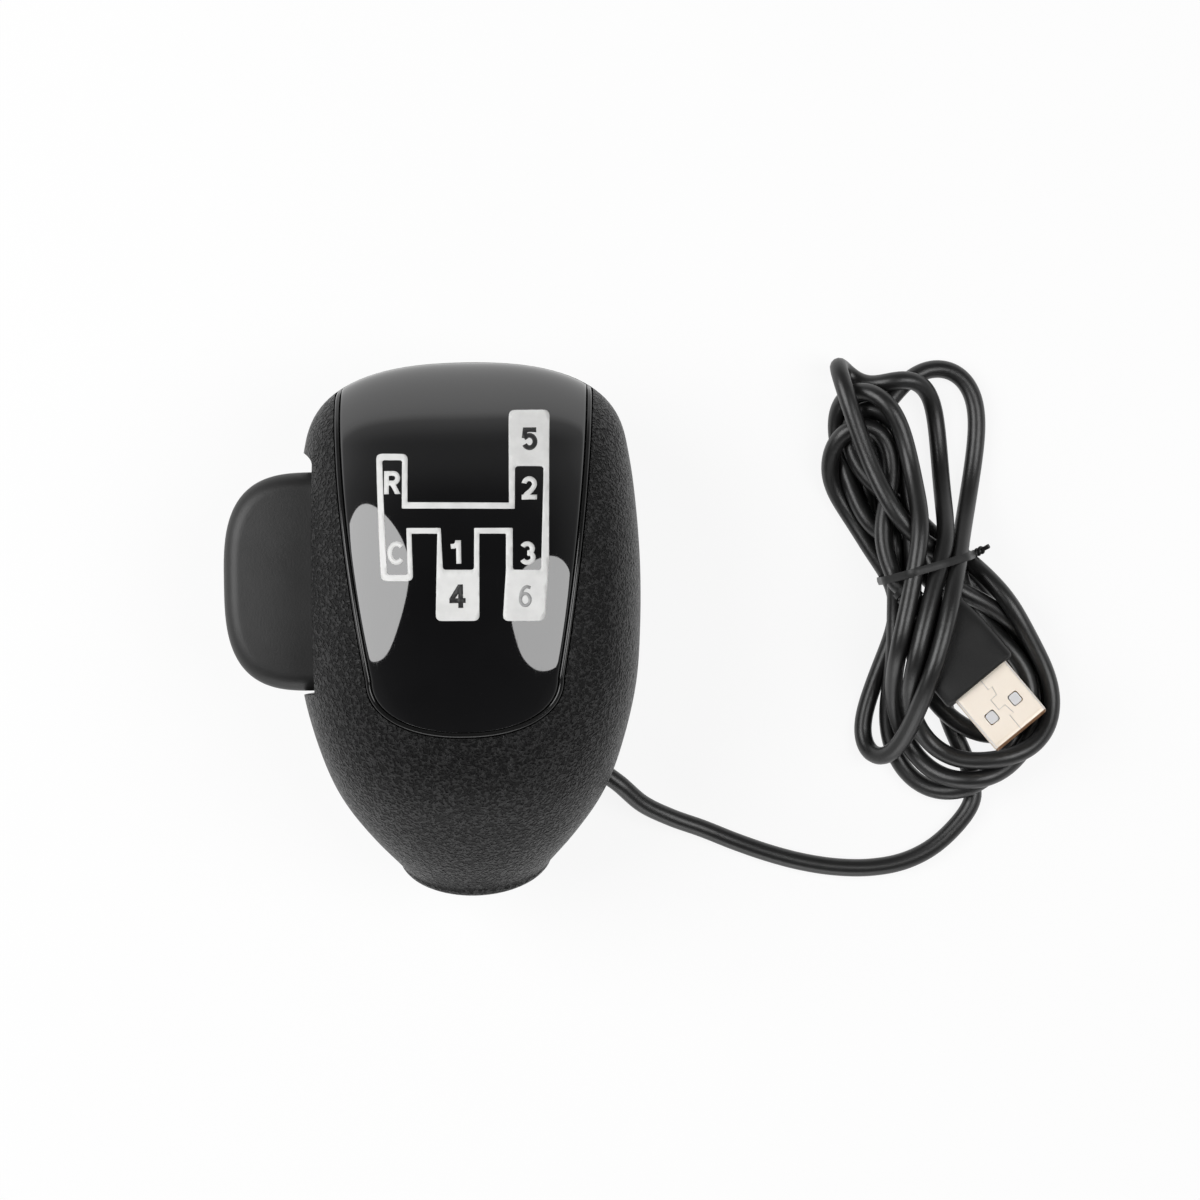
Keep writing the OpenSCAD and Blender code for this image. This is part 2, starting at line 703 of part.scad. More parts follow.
// Cross-headed screw that points up, with its head's seat at the origin
module screw(shank_d, head_d, head_t, length) {
    slot_t = 0.16 * head_d;
    slot_length = 0.6 * head_d;
    difference() {
        union() {
            translate([0, 0, -head_t]) cylinder(d = head_d, h = head_t);
            cylinder(d = shank_d, h = length);
        }
        for (a = [0, 90]) rotate([0, 0, a]) translate([-slot_length / 2, -slot_t / 2, -head_t - over])
            cube([slot_length, slot_t, head_t / 2 + over]);
    }
}
module bracket_screws() {
    color("#a9acb0") at_bracket_screws()
        screw(small_screw_d, small_head_d, small_head_t, small_screw_length);
}
module shell_screws() {
    color("#2a2a2c") at_shell_screws() screw(shell_screw_d, shell_head_d, shell_head_t, shell_screw_length);
}
module board_screws() {
    color("#a9acb0") at_board_holes(board_z + board_t) mirror([0, 0, 1])
        screw(small_screw_d, small_head_d, small_head_t, board_t + board_rise - over);
}

// Push switch: a box with a bore for its plunger, closed at the end away from the rocker arm
upper_plunger_in = 4;
lower_plunger_in = 2.5;
upper_bore = 4.7;
lower_bore = 5.5;
module switch_body(z, bore_z) {
    difference() {
        translate([switch_x - switch_width / 2, paddle_y - switch_length / 2, z])
            cube([switch_width, switch_length, switch_height]);
        translate([switch_x, paddle_y, bore_z]) cylinder(d = plunger_d + 2 * fit, h = switch_height);
    }
}
module upper_switch() {
    color("#2c3b52") switch_body(upper_switch_z, upper_switch_z + upper_bore - switch_height);
}
module lower_switch() {
    color("#2c3b52") switch_body(lower_switch_z - switch_height, lower_switch_z - lower_bore);
}
upper_plunger_gap = 0.05;
lower_plunger_gap = 0.3;
module plunger(length) {
    translate([0, 0, plunger_d / 2]) cylinder(d = plunger_d, h = length - plunger_d / 2);
    translate([0, 0, plunger_d / 2]) sphere(d = plunger_d);
}
module upper_plunger() {
    tip = pin_z + arm_t / 2 + upper_plunger_gap;
    color("#d9d6cf") translate([switch_x, paddle_y, tip]) plunger(upper_switch_z + upper_plunger_in - tip);
}
module lower_plunger() {
    tip = pin_z - arm_t / 2 - lower_plunger_gap;
    color("#d9d6cf") translate([switch_x, paddle_y, tip]) mirror([0, 0, 1])
        plunger(tip - lower_switch_z + lower_plunger_in);
}

// Small spring between the rocker arm's end and the bracket
spring_d = 2.4;
spring_wire = 0.4;
spring_turns = 5;
spring_gap = 0.25;
spring_drop = 1;
module toggle_spring() {
    from = pin_x + arm_length + spring_gap + spring_wire / 2;
    span = back_x - spring_gap - spring_wire / 2 - from;
    steps = 8 * spring_turns;
    points = [for (k = [0:steps]) let (a = 360 * spring_turns * k / steps) [
        from + span * k / steps,
        paddle_y + spring_d / 2 * cos(a),
        pin_z - spring_drop + spring_d / 2 * sin(a)
    ]];
    color("#c9cbce") tube(points, spring_wire, 6, [1, 0, 0]);
}

module control_board() {
    color("#1f5a3a") difference() {
        translate([board_centre[0] - board_length / 2, board_centre[1] - board_width / 2, board_z])
            cube([board_length, board_width, board_t]);
        at_board_holes(board_z - over) cylinder(d = small_screw_d + clear_hole, h = board_t + 2 * over);
    }
}
chip_size = [9, 9, 1.4];
chip_shift = 4;
module board_chip() {
    chip_corner = board_centre - [chip_size[0] / 2 + chip_shift, chip_size[1] / 2];
    color("#18191b") translate([chip_corner[0], chip_corner[1], board_z + board_t]) cube(chip_size);
}
// Socket at the board's rear edge, which the inner cable runs into
socket_size = [8, 5.5, 5.6];
socket_shift = 6;
socket_centre = [
    board_centre[0] + socket_shift, board_centre[1] - board_width / 2, board_z + board_t + socket_size[2] / 2
];
module board_socket() {
    color("#e3dfd3") translate(socket_centre - [socket_size[0] / 2, 0, socket_size[2] / 2])
        cube(socket_size);
}

module cable_gland() {
    color("#161617") gland_frame() difference() {
        translate([0, 0, -gland_length]) cylinder(d = gland_d, h = gland_length);
        translate([0, 0, -gland_length - over])
            cylinder(d = cable_d + 2 * fit, h = gland_length + 2 * over);
    }
}

// Cable inside the grip, from the gland's mouth to the board's socket
module inner_cable() {
    straight = [0, 6, 12, 17];
    socket_run = [[0.6, -9, 0], [0, -4, 0], [0, 0, 0]];
    points = concat(
        [for (length = straight) gland_at - length * gland_way],
        [for (step = socket_run) socket_centre + step]
    );
    color("#141415") tube(points, cable_d, 8, [0, 0, 1]);
}
module cable_lead() {
    color("#141415") tube(lead_route, cable_d, 8, [0, 0, 1]);
}
module cable_hank() {
    color("#141415") tube(hank_route(hank_ring_turn, tail_steps), cable_d, 6, [0, 0, 1]);
}

// Tie: a flat band round the waist, higher on the side where the tail runs
module hank_tie() {
    gap = 0.4;
    tail_room = 1.8;
    tie_place = 2;
    right = waist_half + cable_r + gap;
    left = -waist_half - cable_r - tail_room;
    low_top = waist_lift + cable_d + layer_rise + gap;
    high_top = tail_end[2] + cable_r + tail_room;
    inside = [[left, tie_t], [right, tie_t], [right, low_top], [-over, high_top], [left, high_top]];
    color("#1a1a1b") translate([hank_centre[0], hank_centre[1], 0]) rotate([90, 0, hank_lean])
        translate([0, 0, -tie_width - tie_place]) linear_extrude(tie_width) difference() {
            offset(delta = tie_t) polygon(inside);
            polygon(inside);
        }
}

// Plug: moulded grip with its strain relief, metal shell, tongue and contacts
module plug_grip() {
    corner_r = 2;
    relief_d = [5.6, 4.4];
    color("#151516") plug_frame() {
        translate([0, 0, -grip_length]) linear_extrude(grip_length)
            translate([-grip_t / 2, -grip_width / 2]) rounded_plate(grip_t, grip_width, corner_r);
        translate([0, 0, -grip_length - relief_length])
            cylinder(d1 = relief_d[1], d2 = relief_d[0], h = relief_length);
    }
}
// Flat plate outline with round corners, its low corner at the origin
module rounded_plate(length, width, r) {
    translate([r, 0]) square([length - 2 * r, width]);
    translate([0, r]) square([length, width - 2 * r]);
    for (x = [r, length - r]) for (y = [r, width - r]) translate([x, y]) circle(r);
}
module plug_shell() {
    window = [2.4, 2.2];
    window_place = 5.4;
    window_spread = 5.6;
    color("#d5d4d0") plug_frame() difference() {
        translate([-plug_height / 2, -plug_width / 2, 0]) cube([plug_height, plug_width, plug_length]);
        translate([-plug_height / 2 + plug_sheet, -plug_width / 2 + plug_sheet, -over])
            cube([plug_height - 2 * plug_sheet, plug_width - 2 * plug_sheet, plug_length + 2 * over]);
        for (s = [-1, 1]) translate([-plug_height, s * window_spread / 2 - window[1] / 2, window_place])
            cube([2 * plug_height, window[1], window[0]]);
    }
}
tongue_t = 1.9;
tongue_x = plug_height / 2 - plug_sheet - slack - tongue_t;
tongue_back = 0.8;
tongue_length = plug_length - tongue_back;
contact_t = 0.25;
module plug_tongue() {
    tongue_width = plug_width - 2 * plug_sheet - 2 * slack;
    color("#e9e7e2") plug_frame() translate([tongue_x, -tongue_width / 2, 0])
        cube([tongue_t, tongue_width, tongue_length]);
}
module plug_contacts() {
    contact_width = 1;
    contact_inset = 1;
    places = [-3.5, -1, 1, 3.5];
    color("#cfa94a") plug_frame() for (y = places)
        translate([tongue_x - contact_t, y - contact_width / 2, contact_inset])
            cube([contact_t, contact_width, tongue_length - 2 * contact_inset]);
}

top_shell();
rear_shell();
face_panel();
panel_trim();
lever_sleeve();
set_screws();
range_paddle();
paddle_pin();
switch_bracket();
bracket_screws();
upper_switch();
lower_switch();
upper_plunger();
lower_plunger();
toggle_spring();
control_board();
board_chip();
board_socket();
board_screws();
shell_screws();
cable_gland();
inner_cable();
cable_lead();
cable_hank();
hank_tie();
plug_grip();
plug_shell();
plug_tongue();
plug_contacts();
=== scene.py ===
import math

import bmesh
import bpy
import numpy as np
from mathutils import Matrix, Vector
from mathutils.geometry import convex_hull_2d


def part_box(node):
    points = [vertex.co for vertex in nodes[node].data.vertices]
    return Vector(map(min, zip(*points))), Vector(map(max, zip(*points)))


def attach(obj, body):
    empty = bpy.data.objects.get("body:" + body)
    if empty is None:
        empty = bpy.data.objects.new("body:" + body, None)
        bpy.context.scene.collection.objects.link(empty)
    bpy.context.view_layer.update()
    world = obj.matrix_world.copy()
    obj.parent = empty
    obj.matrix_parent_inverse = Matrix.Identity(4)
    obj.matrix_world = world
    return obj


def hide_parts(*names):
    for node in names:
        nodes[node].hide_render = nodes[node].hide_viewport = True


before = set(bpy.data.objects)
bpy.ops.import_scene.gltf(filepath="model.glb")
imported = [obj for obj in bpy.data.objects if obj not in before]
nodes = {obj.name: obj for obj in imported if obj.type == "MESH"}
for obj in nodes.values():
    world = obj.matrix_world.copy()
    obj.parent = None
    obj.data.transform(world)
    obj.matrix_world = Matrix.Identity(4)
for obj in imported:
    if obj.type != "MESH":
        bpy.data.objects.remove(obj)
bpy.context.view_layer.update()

scene = bpy.context.scene
scene.view_settings.view_transform = "Standard"

# All sizes below are in millimetres, and become metres where a mesh is made
MM = 0.001

# Camera, straight above, turned by the degree that the photograph is turned
VIEW_CENTRE = (30.8, 5.1)
VIEW_HEIGHT = 700
VIEW_WIDTH = 230.45
VIEW_ROLL = -1
SENSOR = 36
camera_data = bpy.data.cameras.new("top_camera")
camera_data.sensor_width = SENSOR
camera_data.lens = SENSOR * VIEW_HEIGHT / VIEW_WIDTH
camera_data.clip_start = 0.01
camera_data.clip_end = 20
camera = bpy.data.objects.new("top_camera", camera_data)
camera.location = (VIEW_CENTRE[0] * MM, VIEW_CENTRE[1] * MM, VIEW_HEIGHT * MM)
camera.rotation_euler = (0, 0, math.radians(VIEW_ROLL))
scene.collection.objects.link(camera)
scene.camera = camera


# Small helpers for lines and meshes
def unit(vector):
    return vector / np.linalg.norm(vector)


def full_turn(count):
    """Angles evenly spaced round a circle."""
    return np.linspace(0, 2 * math.pi, count, endpoint=False)


def oval(half_width, half_height, count, rise=0):
    return [(half_width * math.cos(a), half_height * math.sin(a) + rise) for a in full_turn(count)]


def heading(turn, rise):
    """The way that points by one angle round from x and by another up."""
    flat = math.cos(rise)
    return np.array([math.cos(turn) * flat, math.sin(turn) * flat, math.sin(rise)])


def spline_point(four, t):
    """Catmull-Rom point between the second and the third of four."""
    a, b, c, d = four
    square = (2 * a - 5 * b + 4 * c - d) * t**2
    cube = (3 * b - a - 3 * c + d) * t**3
    return 0.5 * (2 * b + (c - a) * t + square + cube)


def run_on(points):
    """The points, with one more straight on at each end."""
    return np.vstack([2 * points[0] - points[1], points, 2 * points[-1] - points[-2]])


def smooth_line(points, per_span):
    """Catmull-Rom line through the points."""
    points = np.asarray(points, float)
    longer = run_on(points)
    t = np.linspace(0, 1, per_span, endpoint=False)[:, None]
    parts = [spline_point(longer[i : i + 4], t) for i in range(len(points) - 1)]
    return np.vstack(parts + [points[-1:]])


def step_lengths(points):
    return np.linalg.norm(np.diff(points, axis=0), axis=1)


def spaced(points, step):
    """The same line with points a step apart."""
    along = np.concatenate([[0], np.cumsum(step_lengths(points))])
    count = int(round(along[-1] / step)) + 1
    places = np.linspace(0, along[-1], count)
    return np.stack([np.interp(places, along, points[:, k]) for k in range(points.shape[1])], 1)


def line_length(points):
    return float(step_lengths(points).sum())


def widened(line, half):
    """Outline of a flat stroke along a line, by its half width."""
    line = np.array(line, float)
    ways = np.gradient(line, axis=0)
    ways /= np.linalg.norm(ways, axis=1)[:, None]
    side = half * np.stack([-ways[:, 1], ways[:, 0]], 1)
    return [tuple(p) for p in line - side] + [tuple(p) for p in (line + side)[::-1]]


def shade(piece, sharp_angle):
    """Smooth faces, with hard edges where two faces meet at more than the angle."""
    editor = bmesh.new()
    editor.from_mesh(piece.data)
    bmesh.ops.recalc_face_normals(editor, faces=editor.faces)
    limit = math.radians(sharp_angle)
    for face in editor.faces:
        face.smooth = True
    for edge in editor.edges:
        edge.smooth = edge.calc_face_angle(0) < limit
    editor.to_mesh(piece.data)
    editor.free()
    return piece


def mesh_piece(name, points, faces, sharp_angle=40):
    mesh = bpy.data.meshes.new(name)
    mesh.from_pydata([tuple(MM * float(c) for c in p) for p in points], [], faces)
    mesh.validate()
    piece = bpy.data.objects.new(name, mesh)
    scene.collection.objects.link(piece)
    return shade(piece, sharp_angle)


def skin(rings, first=None, last=None, closed=False):
    """Points and faces of a skin through rings of equal count, with a fan or a flat at each end.

    A closed skin has no ends: its last ring joins its first.
    """
    rings = [np.asarray(r, float) for r in rings]
    n = len(rings[0])
    m = len(rings)
    points = [p for r in rings for p in r]
    faces = []
    for i in range(m if closed else m - 1):
        here = i * n
        there = (i + 1) % m * n
        for k in range(n):
            after = (k + 1) % n
            faces.append((here + k, here + after, there + after, there + k))
    if closed:
        return points, faces
    for centre, row, turn in ((first, 0, 1), (last, m - 1, -1)):
        ring = [row * n + k for k in range(n)][::turn]
        if centre is None:
            faces.append(tuple(ring[::-1]))
        else:
            points.append(np.asarray(centre, float))
            tip = len(points) - 1
            faces += [(tip, ring[(k + 1) % n], ring[k]) for k in range(n)]
    return points, faces


def joined(parts):
    """One list of points and faces from several."""
    points = []
    faces = []
    for more_points, more_faces in parts:
        base = len(points)
        points += list(more_points)
        faces += [tuple(base + k for k in face) for face in more_faces]
    return points, faces


def sweep(path, normals, profile):
    """Rings of a profile, in (side, normal) steps, carried along a path."""
    path = np.asarray(path, float)
    ways = np.gradient(path, axis=0)
    rings = []
    for point, way, normal in zip(path, ways, normals):
        way = unit(way)
        side = unit(np.cross(way, normal))
        up = np.cross(side, way)
        rings.append([point + s * side + h * up for s, h in profile])
    return rings


def turned_profile(radius_points, base, way, sides):
    """Rings round an axis, from (place along it, radius) pairs."""
    way = unit(np.asarray(way, float))
    side = unit(np.cross(way, [0.31, 0.47, 0.83]))
    up = np.cross(way, side)
    angles = full_turn(sides)
    rings = []
    for place, radius in radius_points:
        centre = np.asarray(base, float) + place * way
        rings.append([centre + radius * (math.cos(a) * side + math.sin(a) * up) for a in angles])
    return rings


def cut(piece, cutters, operation="DIFFERENCE"):
    """Applies booleans to a piece, and removes the cutters."""
    for cutter in cutters:
        modifier = piece.modifiers.new("cut", "BOOLEAN")
        modifier.operation = operation
        modifier.solver = "MANIFOLD"
        modifier.object = cutter
        depsgraph = bpy.context.evaluated_depsgraph_get()
        mesh = bpy.data.meshes.new_from_object(piece.evaluated_get(depsgraph))
        piece.modifiers.clear()
        piece.data = mesh
        bpy.data.objects.remove(cutter)
    return piece


def cutter(rings):
    return mesh_piece("cutter", *skin(rings))


def prism(outline, low, high):
    return cutter([[(x, y, z) for x, y in outline] for z in (low, high)])


def box_cutter(low, high):
    outline = [(low[0], low[1]), (high[0], low[1]), (high[0], high[1]), (low[0], high[1])]
    return prism(outline, low[2], high[2])


def rod(base, way, length, diameter, sides=48):
    return cutter(turned_profile([(0, diameter / 2), (length, diameter / 2)], base, way, sides))


# Cord: its route as laid for the photograph, strand by strand, then left to settle
CORD_D = 3.4
CORD_R = CORD_D / 2
CORD_STEP = 1.9
GLAND_AT = np.array([29.5, -26.5, 8.5])
GLAND_WAY = heading(math.radians(-38), math.radians(-9))
PLUG_AT = np.array([102, -11.5, 15.6])
PLUG_TURN = math.radians(-51.5)
PLUG_WAY = heading(PLUG_TURN, math.radians(8))
PLUG_ACROSS = np.array([-math.sin(PLUG_TURN), math.cos(PLUG_TURN), 0])
PLUG_UP = np.cross(PLUG_WAY, PLUG_ACROSS)
TAIL_BACK = 23
TAIL_END = PLUG_AT - TAIL_BACK * PLUG_WAY

LEAD = [
    (38.3, -33.9, 5.5), (43.7, -36.7, 3.4), (49.7, -39, 2.1), (55.9, -41.6, 1.7), (62.2, -43.9, 1.7),
    (68.6, -45.7, 1.7), (75.1, -46.8, 1.7), (81.6, -47, 1.7), (87.8, -46, 1.7), (93.3, -43.5, 1.7),
    (98, -39.5, 1.7), (101.2, -35, 1.7), (101.6, -30, 1.7), (99.6, -25, 1.7), (97.2, -20.5, 1.7),
    (95.8, -15.5, 1.7), (95.6, -10.2, 1.7), (96.2, -5, 1.7), (97, 0.5, 1.9), (97, 5.6, 2.4),
]
FIRST_UPPER_LOOP = [
    (95, 9.5, 2.6), (90.5, 12.5, 2.4), (87.5, 16.5, 1.7), (84.5, 21.5, 1.7), (82, 27, 1.7),
    (80.2, 33, 1.7), (79.6, 38, 1.7), (80.8, 42, 1.7), (83.5, 44.2, 1.7), (86.4, 42.4, 1.7), (87, 38, 1.7),
    (86.2, 32.5, 1.7), (86.2, 27, 2), (87, 21.5, 3.5), (87.8, 16, 6), (88, 11, 8.5),
]
FIRST_LOWER_LOOP = [
    (88.2, 5.5, 8), (87.6, 0.5, 6.3), (86.6, -5.5, 4.2), (85.5, -11.5, 2.6), (85, -17.5, 1.8),
    (85.8, -22.5, 1.7), (87.8, -27, 1.7), (90, -30, 1.7), (92.5, -32.3, 2.6), (96.5, -33, 4.2),
    (100, -31.8, 5.3), (104, -29.2, 5.3), (108, -26.2, 3.8), (110.8, -22, 2.2), (112.2, -17, 1.7),
    (112, -12, 1.7), (110, -7, 1.7), (107.5, -2, 1.7), (104.5, 2.5, 2), (101, 6.5, 2.6), (97, 11, 2.6),
]
SECOND_UPPER_LOOP = [
    (92.5, 14.5, 2.6), (88, 16.5, 3), (84.5, 19, 3.4), (82, 22, 3.6), (80, 25.5, 3.8), (78.5, 29, 4),
    (77.2, 33, 4.5), (76.3, 37, 5), (76.2, 40.5, 6.5), (77, 43, 8.5), (79, 44.4, 9.5), (81.4, 44.8, 10.5),
    (84, 43.2, 10.5), (86, 40.5, 9.5), (87.8, 36.8, 8.2), (89.2, 32.5, 7.4), (90, 27.5, 8), (90.3, 22, 10),
    (90.2, 16, 13), (89.9, 10.5, 16),
]
SECOND_LOWER_LOOP = [
    (89.3, 6, 17.4), (88.4, 1.5, 18), (87.2, -3.5, 17.4), (86.2, -8.2, 14), (86, -12.6, 10.4),
    (86.6, -17, 7.4), (88, -21.2, 5.6), (90, -25, 4.8), (92.4, -28.2, 4.8), (95.4, -30.4, 5.4),
    (99, -31.2, 6.4), (103, -30, 7.4), (107.3, -27.4, 6.8), (111.3, -23.8, 4.8), (114, -19, 3.8),
    (115, -13.5, 3.4), (113.4, -8, 3.4), (110.4, -3.2, 3.4), (107, 1.2, 3.8), (103.4, 5, 4.8),
    (99.3, 8.5, 5.8), (94.5, 12, 5.8),
]
INNER_UPPER_LOOP = [
    (91, 15, 5.4), (87, 18.5, 5), (83.8, 22.5, 5), (81.4, 27, 5), (79.6, 31.5, 5), (78.8, 36, 5),
    (79.8, 40, 5), (82.6, 42, 5), (85.8, 40.6, 5), (87.6, 36.5, 5), (88.4, 31.5, 5), (88.8, 26.5, 5.2),
    (89, 21, 5.8), (89.2, 15.5, 7), (89.5, 10.5, 8),
]
INNER_LOWER_LOOP = [
    (89.8, 5.5, 8), (89.6, 0, 7.4), (89.8, -6, 6.8), (91.4, -11.2, 6.2), (94.2, -14.8, 6), (97.4, -17.6, 6.2),
    (100.4, -20, 7), (103.2, -21.6, 8), (105.8, -22.4, 8.2), (108.6, -22, 7.4), (111.2, -19.4, 6.2),
    (112.6, -15.6, 5.4), (112.2, -11, 5), (110.4, -6.5, 5), (108, -2, 5), (105, 2, 5.3), (101.6, 6, 5.6),
    (97.6, 10, 5.8),
]
THIRD_UPPER_LOOP = [
    (92.6, 13.6, 6.5), (88.4, 18, 8), (85.8, 22, 10), (83.9, 26, 11.5), (82.1, 31, 12.5), (80.3, 36, 13),
    (78.7, 41, 12.8), (77.6, 45, 12), (77.1, 48.2, 10.5), (78.6, 50.4, 8.6), (80.2, 48, 7), (81.2, 44, 5.6),
    (82.8, 42, 5.2), (84.8, 43.4, 5.2), (87, 46.8, 5.4), (89.2, 48, 5.6), (91.4, 46.2, 5), (93.8, 42.4, 3.6),
    (95.4, 37, 2.6), (96.2, 31.5, 3.6), (96.5, 26, 6), (96, 20, 10), (95, 13.5, 14.5),
]
THIRD_LOWER_LOOP = [
    (93.8, 8, 17.6), (92.8, 3.5, 19), (91.4, -1, 19.6), (90.2, -5.5, 19.4), (89.4, -10, 16.8),
    (89, -14.5, 13), (90, -18.8, 10), (92, -22.4, 8.4), (95.4, -25.6, 8), (99.2, -27.4, 8.6),
    (103.2, -27.8, 9.6), (107.4, -27, 9.6), (111.6, -25, 8.4), (115.1, -21.6, 7), (117, -17.2, 6.2),
    (116.6, -12.5, 5.5), (113.6, -7, 5.5), (110.2, -2, 5.5), (107.2, 2.3, 5.8), (104.2, 6.3, 6),
    (100.6, 10, 6), (96.5, 13.5, 6),
]
FOURTH_UPPER_LOOP = [
    (92, 16, 5.8), (88.6, 19.5, 5.2), (86.6, 22.5, 5.1), (84.8, 26.5, 5.1), (83.6, 30, 5.1), (83, 33.5, 5.1),
    (83, 36.5, 5.1), (83.6, 39, 5.1), (85, 40.8, 4.6), (87, 42.2, 4), (89.5, 44, 3), (91.6, 46.2, 2),
    (94, 48.2, 1.8), (96.5, 49, 1.7), (99.3, 48.6, 1.7), (101.7, 46, 1.7), (102.9, 42, 1.7), (103.1, 37, 1.7),
    (102.7, 31, 2), (101.8, 25, 5), (100.2, 18.5, 9.5), (98.5, 13, 14),
]
SHORT_LOWER_LOOP = [
    (97.5, 7.5, 18.4), (96, 2.5, 20.5), (95, -3, 21), (93.2, -8.5, 20), (91, -14, 17.5), (88.6, -19.5, 13),
    (86, -24, 8.6), (82.8, -26.4, 5.2), (80.6, -25.2, 3.5), (80.7, -21, 2.5), (82.8, -15, 1.8),
    (85.2, -8.5, 1.7), (87, -1.5, 2), (87.8, 4, 3.2),
]
LAST_UPPER_LOOP = [
    (87.8, 9, 4), (85.8, 13, 3), (83.1, 17, 1.9), (80.5, 21.5, 1.7), (78.2, 26.5, 1.8), (77.1, 31, 5),
    (77.5, 34.8, 8.4), (79.6, 37.2, 8.8), (82.2, 38, 8.4), (84.8, 36.8, 6.4), (86, 33.2, 5.4), (86, 28.5, 5),
    (85.8, 24, 5.2), (85.6, 19.5, 6.4), (85.6, 15.5, 8.4), (86, 11.8, 10.6),
]
CORD_ROUTE = np.array(
    [GLAND_AT, GLAND_AT + 3 * GLAND_WAY, GLAND_AT + 6 * GLAND_WAY]
    + LEAD + FIRST_UPPER_LOOP + FIRST_LOWER_LOOP + SECOND_UPPER_LOOP + SECOND_LOWER_LOOP
    + INNER_UPPER_LOOP + INNER_LOWER_LOOP + THIRD_UPPER_LOOP + THIRD_LOWER_LOOP
    + FOURTH_UPPER_LOOP + SHORT_LOWER_LOOP + LAST_UPPER_LOOP
    + [TAIL_END - 2.5 * PLUG_WAY, TAIL_END]
)
SPAN_STEPS = 12
DRAWN_STEPS = 3
# The lead's first points, which stay as they are laid
LEAD_POINTS = 16

# Plug's outline as the cord meets it: place along the plug, half width and half thickness
PLUG_PLACES = [-25, -17.6, -16.6, -15, -8, 0, 0.5, 12, 14]
PLUG_HALF_WIDTHS = [2.2, 2.8, 6, 7.2, 7.8, 7.8, 6.2, 6, 4]
PLUG_HALF_HEIGHTS = [2.2, 2.8, 3, 3.3, 3.7, 3.7, 2.4, 2.3, 1]
PLUG_POWER = 2.8
PLUG_RIM = 0.999
# Points less than this below the plug's middle go over it
OVER_PLUG = 0.5
# The cord's last points, which run into the plug
TAIL_POINTS = 8

# Tie: the line across the waist that it runs along, and how it lifts the strands above it
TIE_LEFT = np.array([85.0, 8.0])
TIE_RIGHT = np.array([99.6, 11.9])
TIE_WAY = unit(TIE_RIGHT - TIE_LEFT)
TIE_SQUARE = np.array([-TIE_WAY[1], TIE_WAY[0]])
TIE_LIFT = 0.9
TIE_REACH = 6
TIE_SPAN = (-4, 20)

# Settling: its rounds and distances, and how strongly each rule acts in one round
SETTLE_ROUNDS = 450
EASE_ROUNDS = 3
TOUCH = CORD_D + 0.1
LOOK_EVERY = 8
LOOK_REACH = TOUCH + 2.2
SAME_STRAND = 5
SHARPEST = CORD_STEP**2 / 7.0
HOLD_FLAT = 0.045
HOLD_FLAT_POWER = 0.7
HOLD_HIGH = 0.03
HOLD_HIGH_FADE = 1.6
SAG = 0.008
SOFTEN_ROUNDS = 4
SOFTEN = 0.08
UNBEND = 0.2
STRETCH_ROUNDS = 3
STRETCH = 0.25
PUSH_ROUNDS = 2
CROWDING = 0.55
PLUG_SHARE = 0.4
TAIL_HELD = 3
TINY = 1e-9


def off_plug(points):
    """Lifts points a part of the way out of the plug, over or under it."""
    local = points - PLUG_AT
    place = local @ PLUG_WAY
    across = local @ PLUG_ACROSS
    up = local @ PLUG_UP
    half_width = np.interp(place, PLUG_PLACES, PLUG_HALF_WIDTHS) + CORD_R
    half_height = np.interp(place, PLUG_PLACES, PLUG_HALF_HEIGHTS) + CORD_R
    level = (np.abs(across) / half_width) ** PLUG_POWER + (np.abs(up) / half_height) ** PLUG_POWER
    inside = (place > PLUG_PLACES[0]) & (place < PLUG_PLACES[-1]) & (level < 1)
    inside[-TAIL_POINTS:] = False
    rim = np.minimum(PLUG_RIM, np.abs(across) / half_width)
    lift = np.sign(up + OVER_PLUG) * half_height * (1 - rim**PLUG_POWER) ** (1 / PLUG_POWER) - up
    return points + np.where(inside, PLUG_SHARE * lift, 0)[:, None] * PLUG_UP


def by_tie(points):
    """Steps of the points along the tie's line, and beside it."""
    local = points[:, :2] - TIE_LEFT
    return local @ TIE_WAY, local @ TIE_SQUARE


def ground(points):
    """Height that the cord's middle can't go below: the floor, and the tie under the waist."""
    along, beside = by_tie(points)
    near = np.exp(-((beside / TIE_REACH) ** 2)) * (along > TIE_SPAN[0]) * (along < TIE_SPAN[1])
    return CORD_R + TIE_LIFT * near


def straighten(points):
    """Softens all bends a little, and opens those that are too sharp."""
    for _ in range(SOFTEN_ROUNDS):
        inner = 6 * points[2:-2] - 4 * (points[1:-3] + points[3:-1]) + points[:-4] + points[4:]
        points[2:-2] -= SOFTEN * inner
    bend = points[:-2] - 2 * points[1:-1] + points[2:]
    amount = np.linalg.norm(bend, axis=1) + TINY
    excess = np.maximum(0, 1 - SHARPEST / amount)[:, None] * bend
    points[1:-1] += UNBEND * excess
    points[:-2] -= UNBEND / 2 * excess
    points[2:] -= UNBEND / 2 * excess


def keep_length(points, steps):
    for _ in range(STRETCH_ROUNDS):
        spans = points[1:] - points[:-1]
        lengths = np.linalg.norm(spans, axis=1)
        mend = STRETCH * ((lengths - steps) / lengths)[:, None] * spans
        points[:-1] += mend
        points[1:] -= mend


def push_apart(points, one, two):
    """Moves strands apart where they are in each other."""
    count = len(points)
    between = points[one] - points[two]
    distance = np.linalg.norm(between, axis=1) + TINY
    hit = distance < TOUCH
    push = np.where(hit, 0.5 * (TOUCH - distance) / distance, 0)[:, None] * between
    hits = np.bincount(one, hit, count) + np.bincount(two, hit, count)
    for k in range(3):
        moved = np.bincount(one, push[:, k], count) - np.bincount(two, push[:, k], count)
        points[:, k] += moved / np.maximum(1, CROWDING * hits)


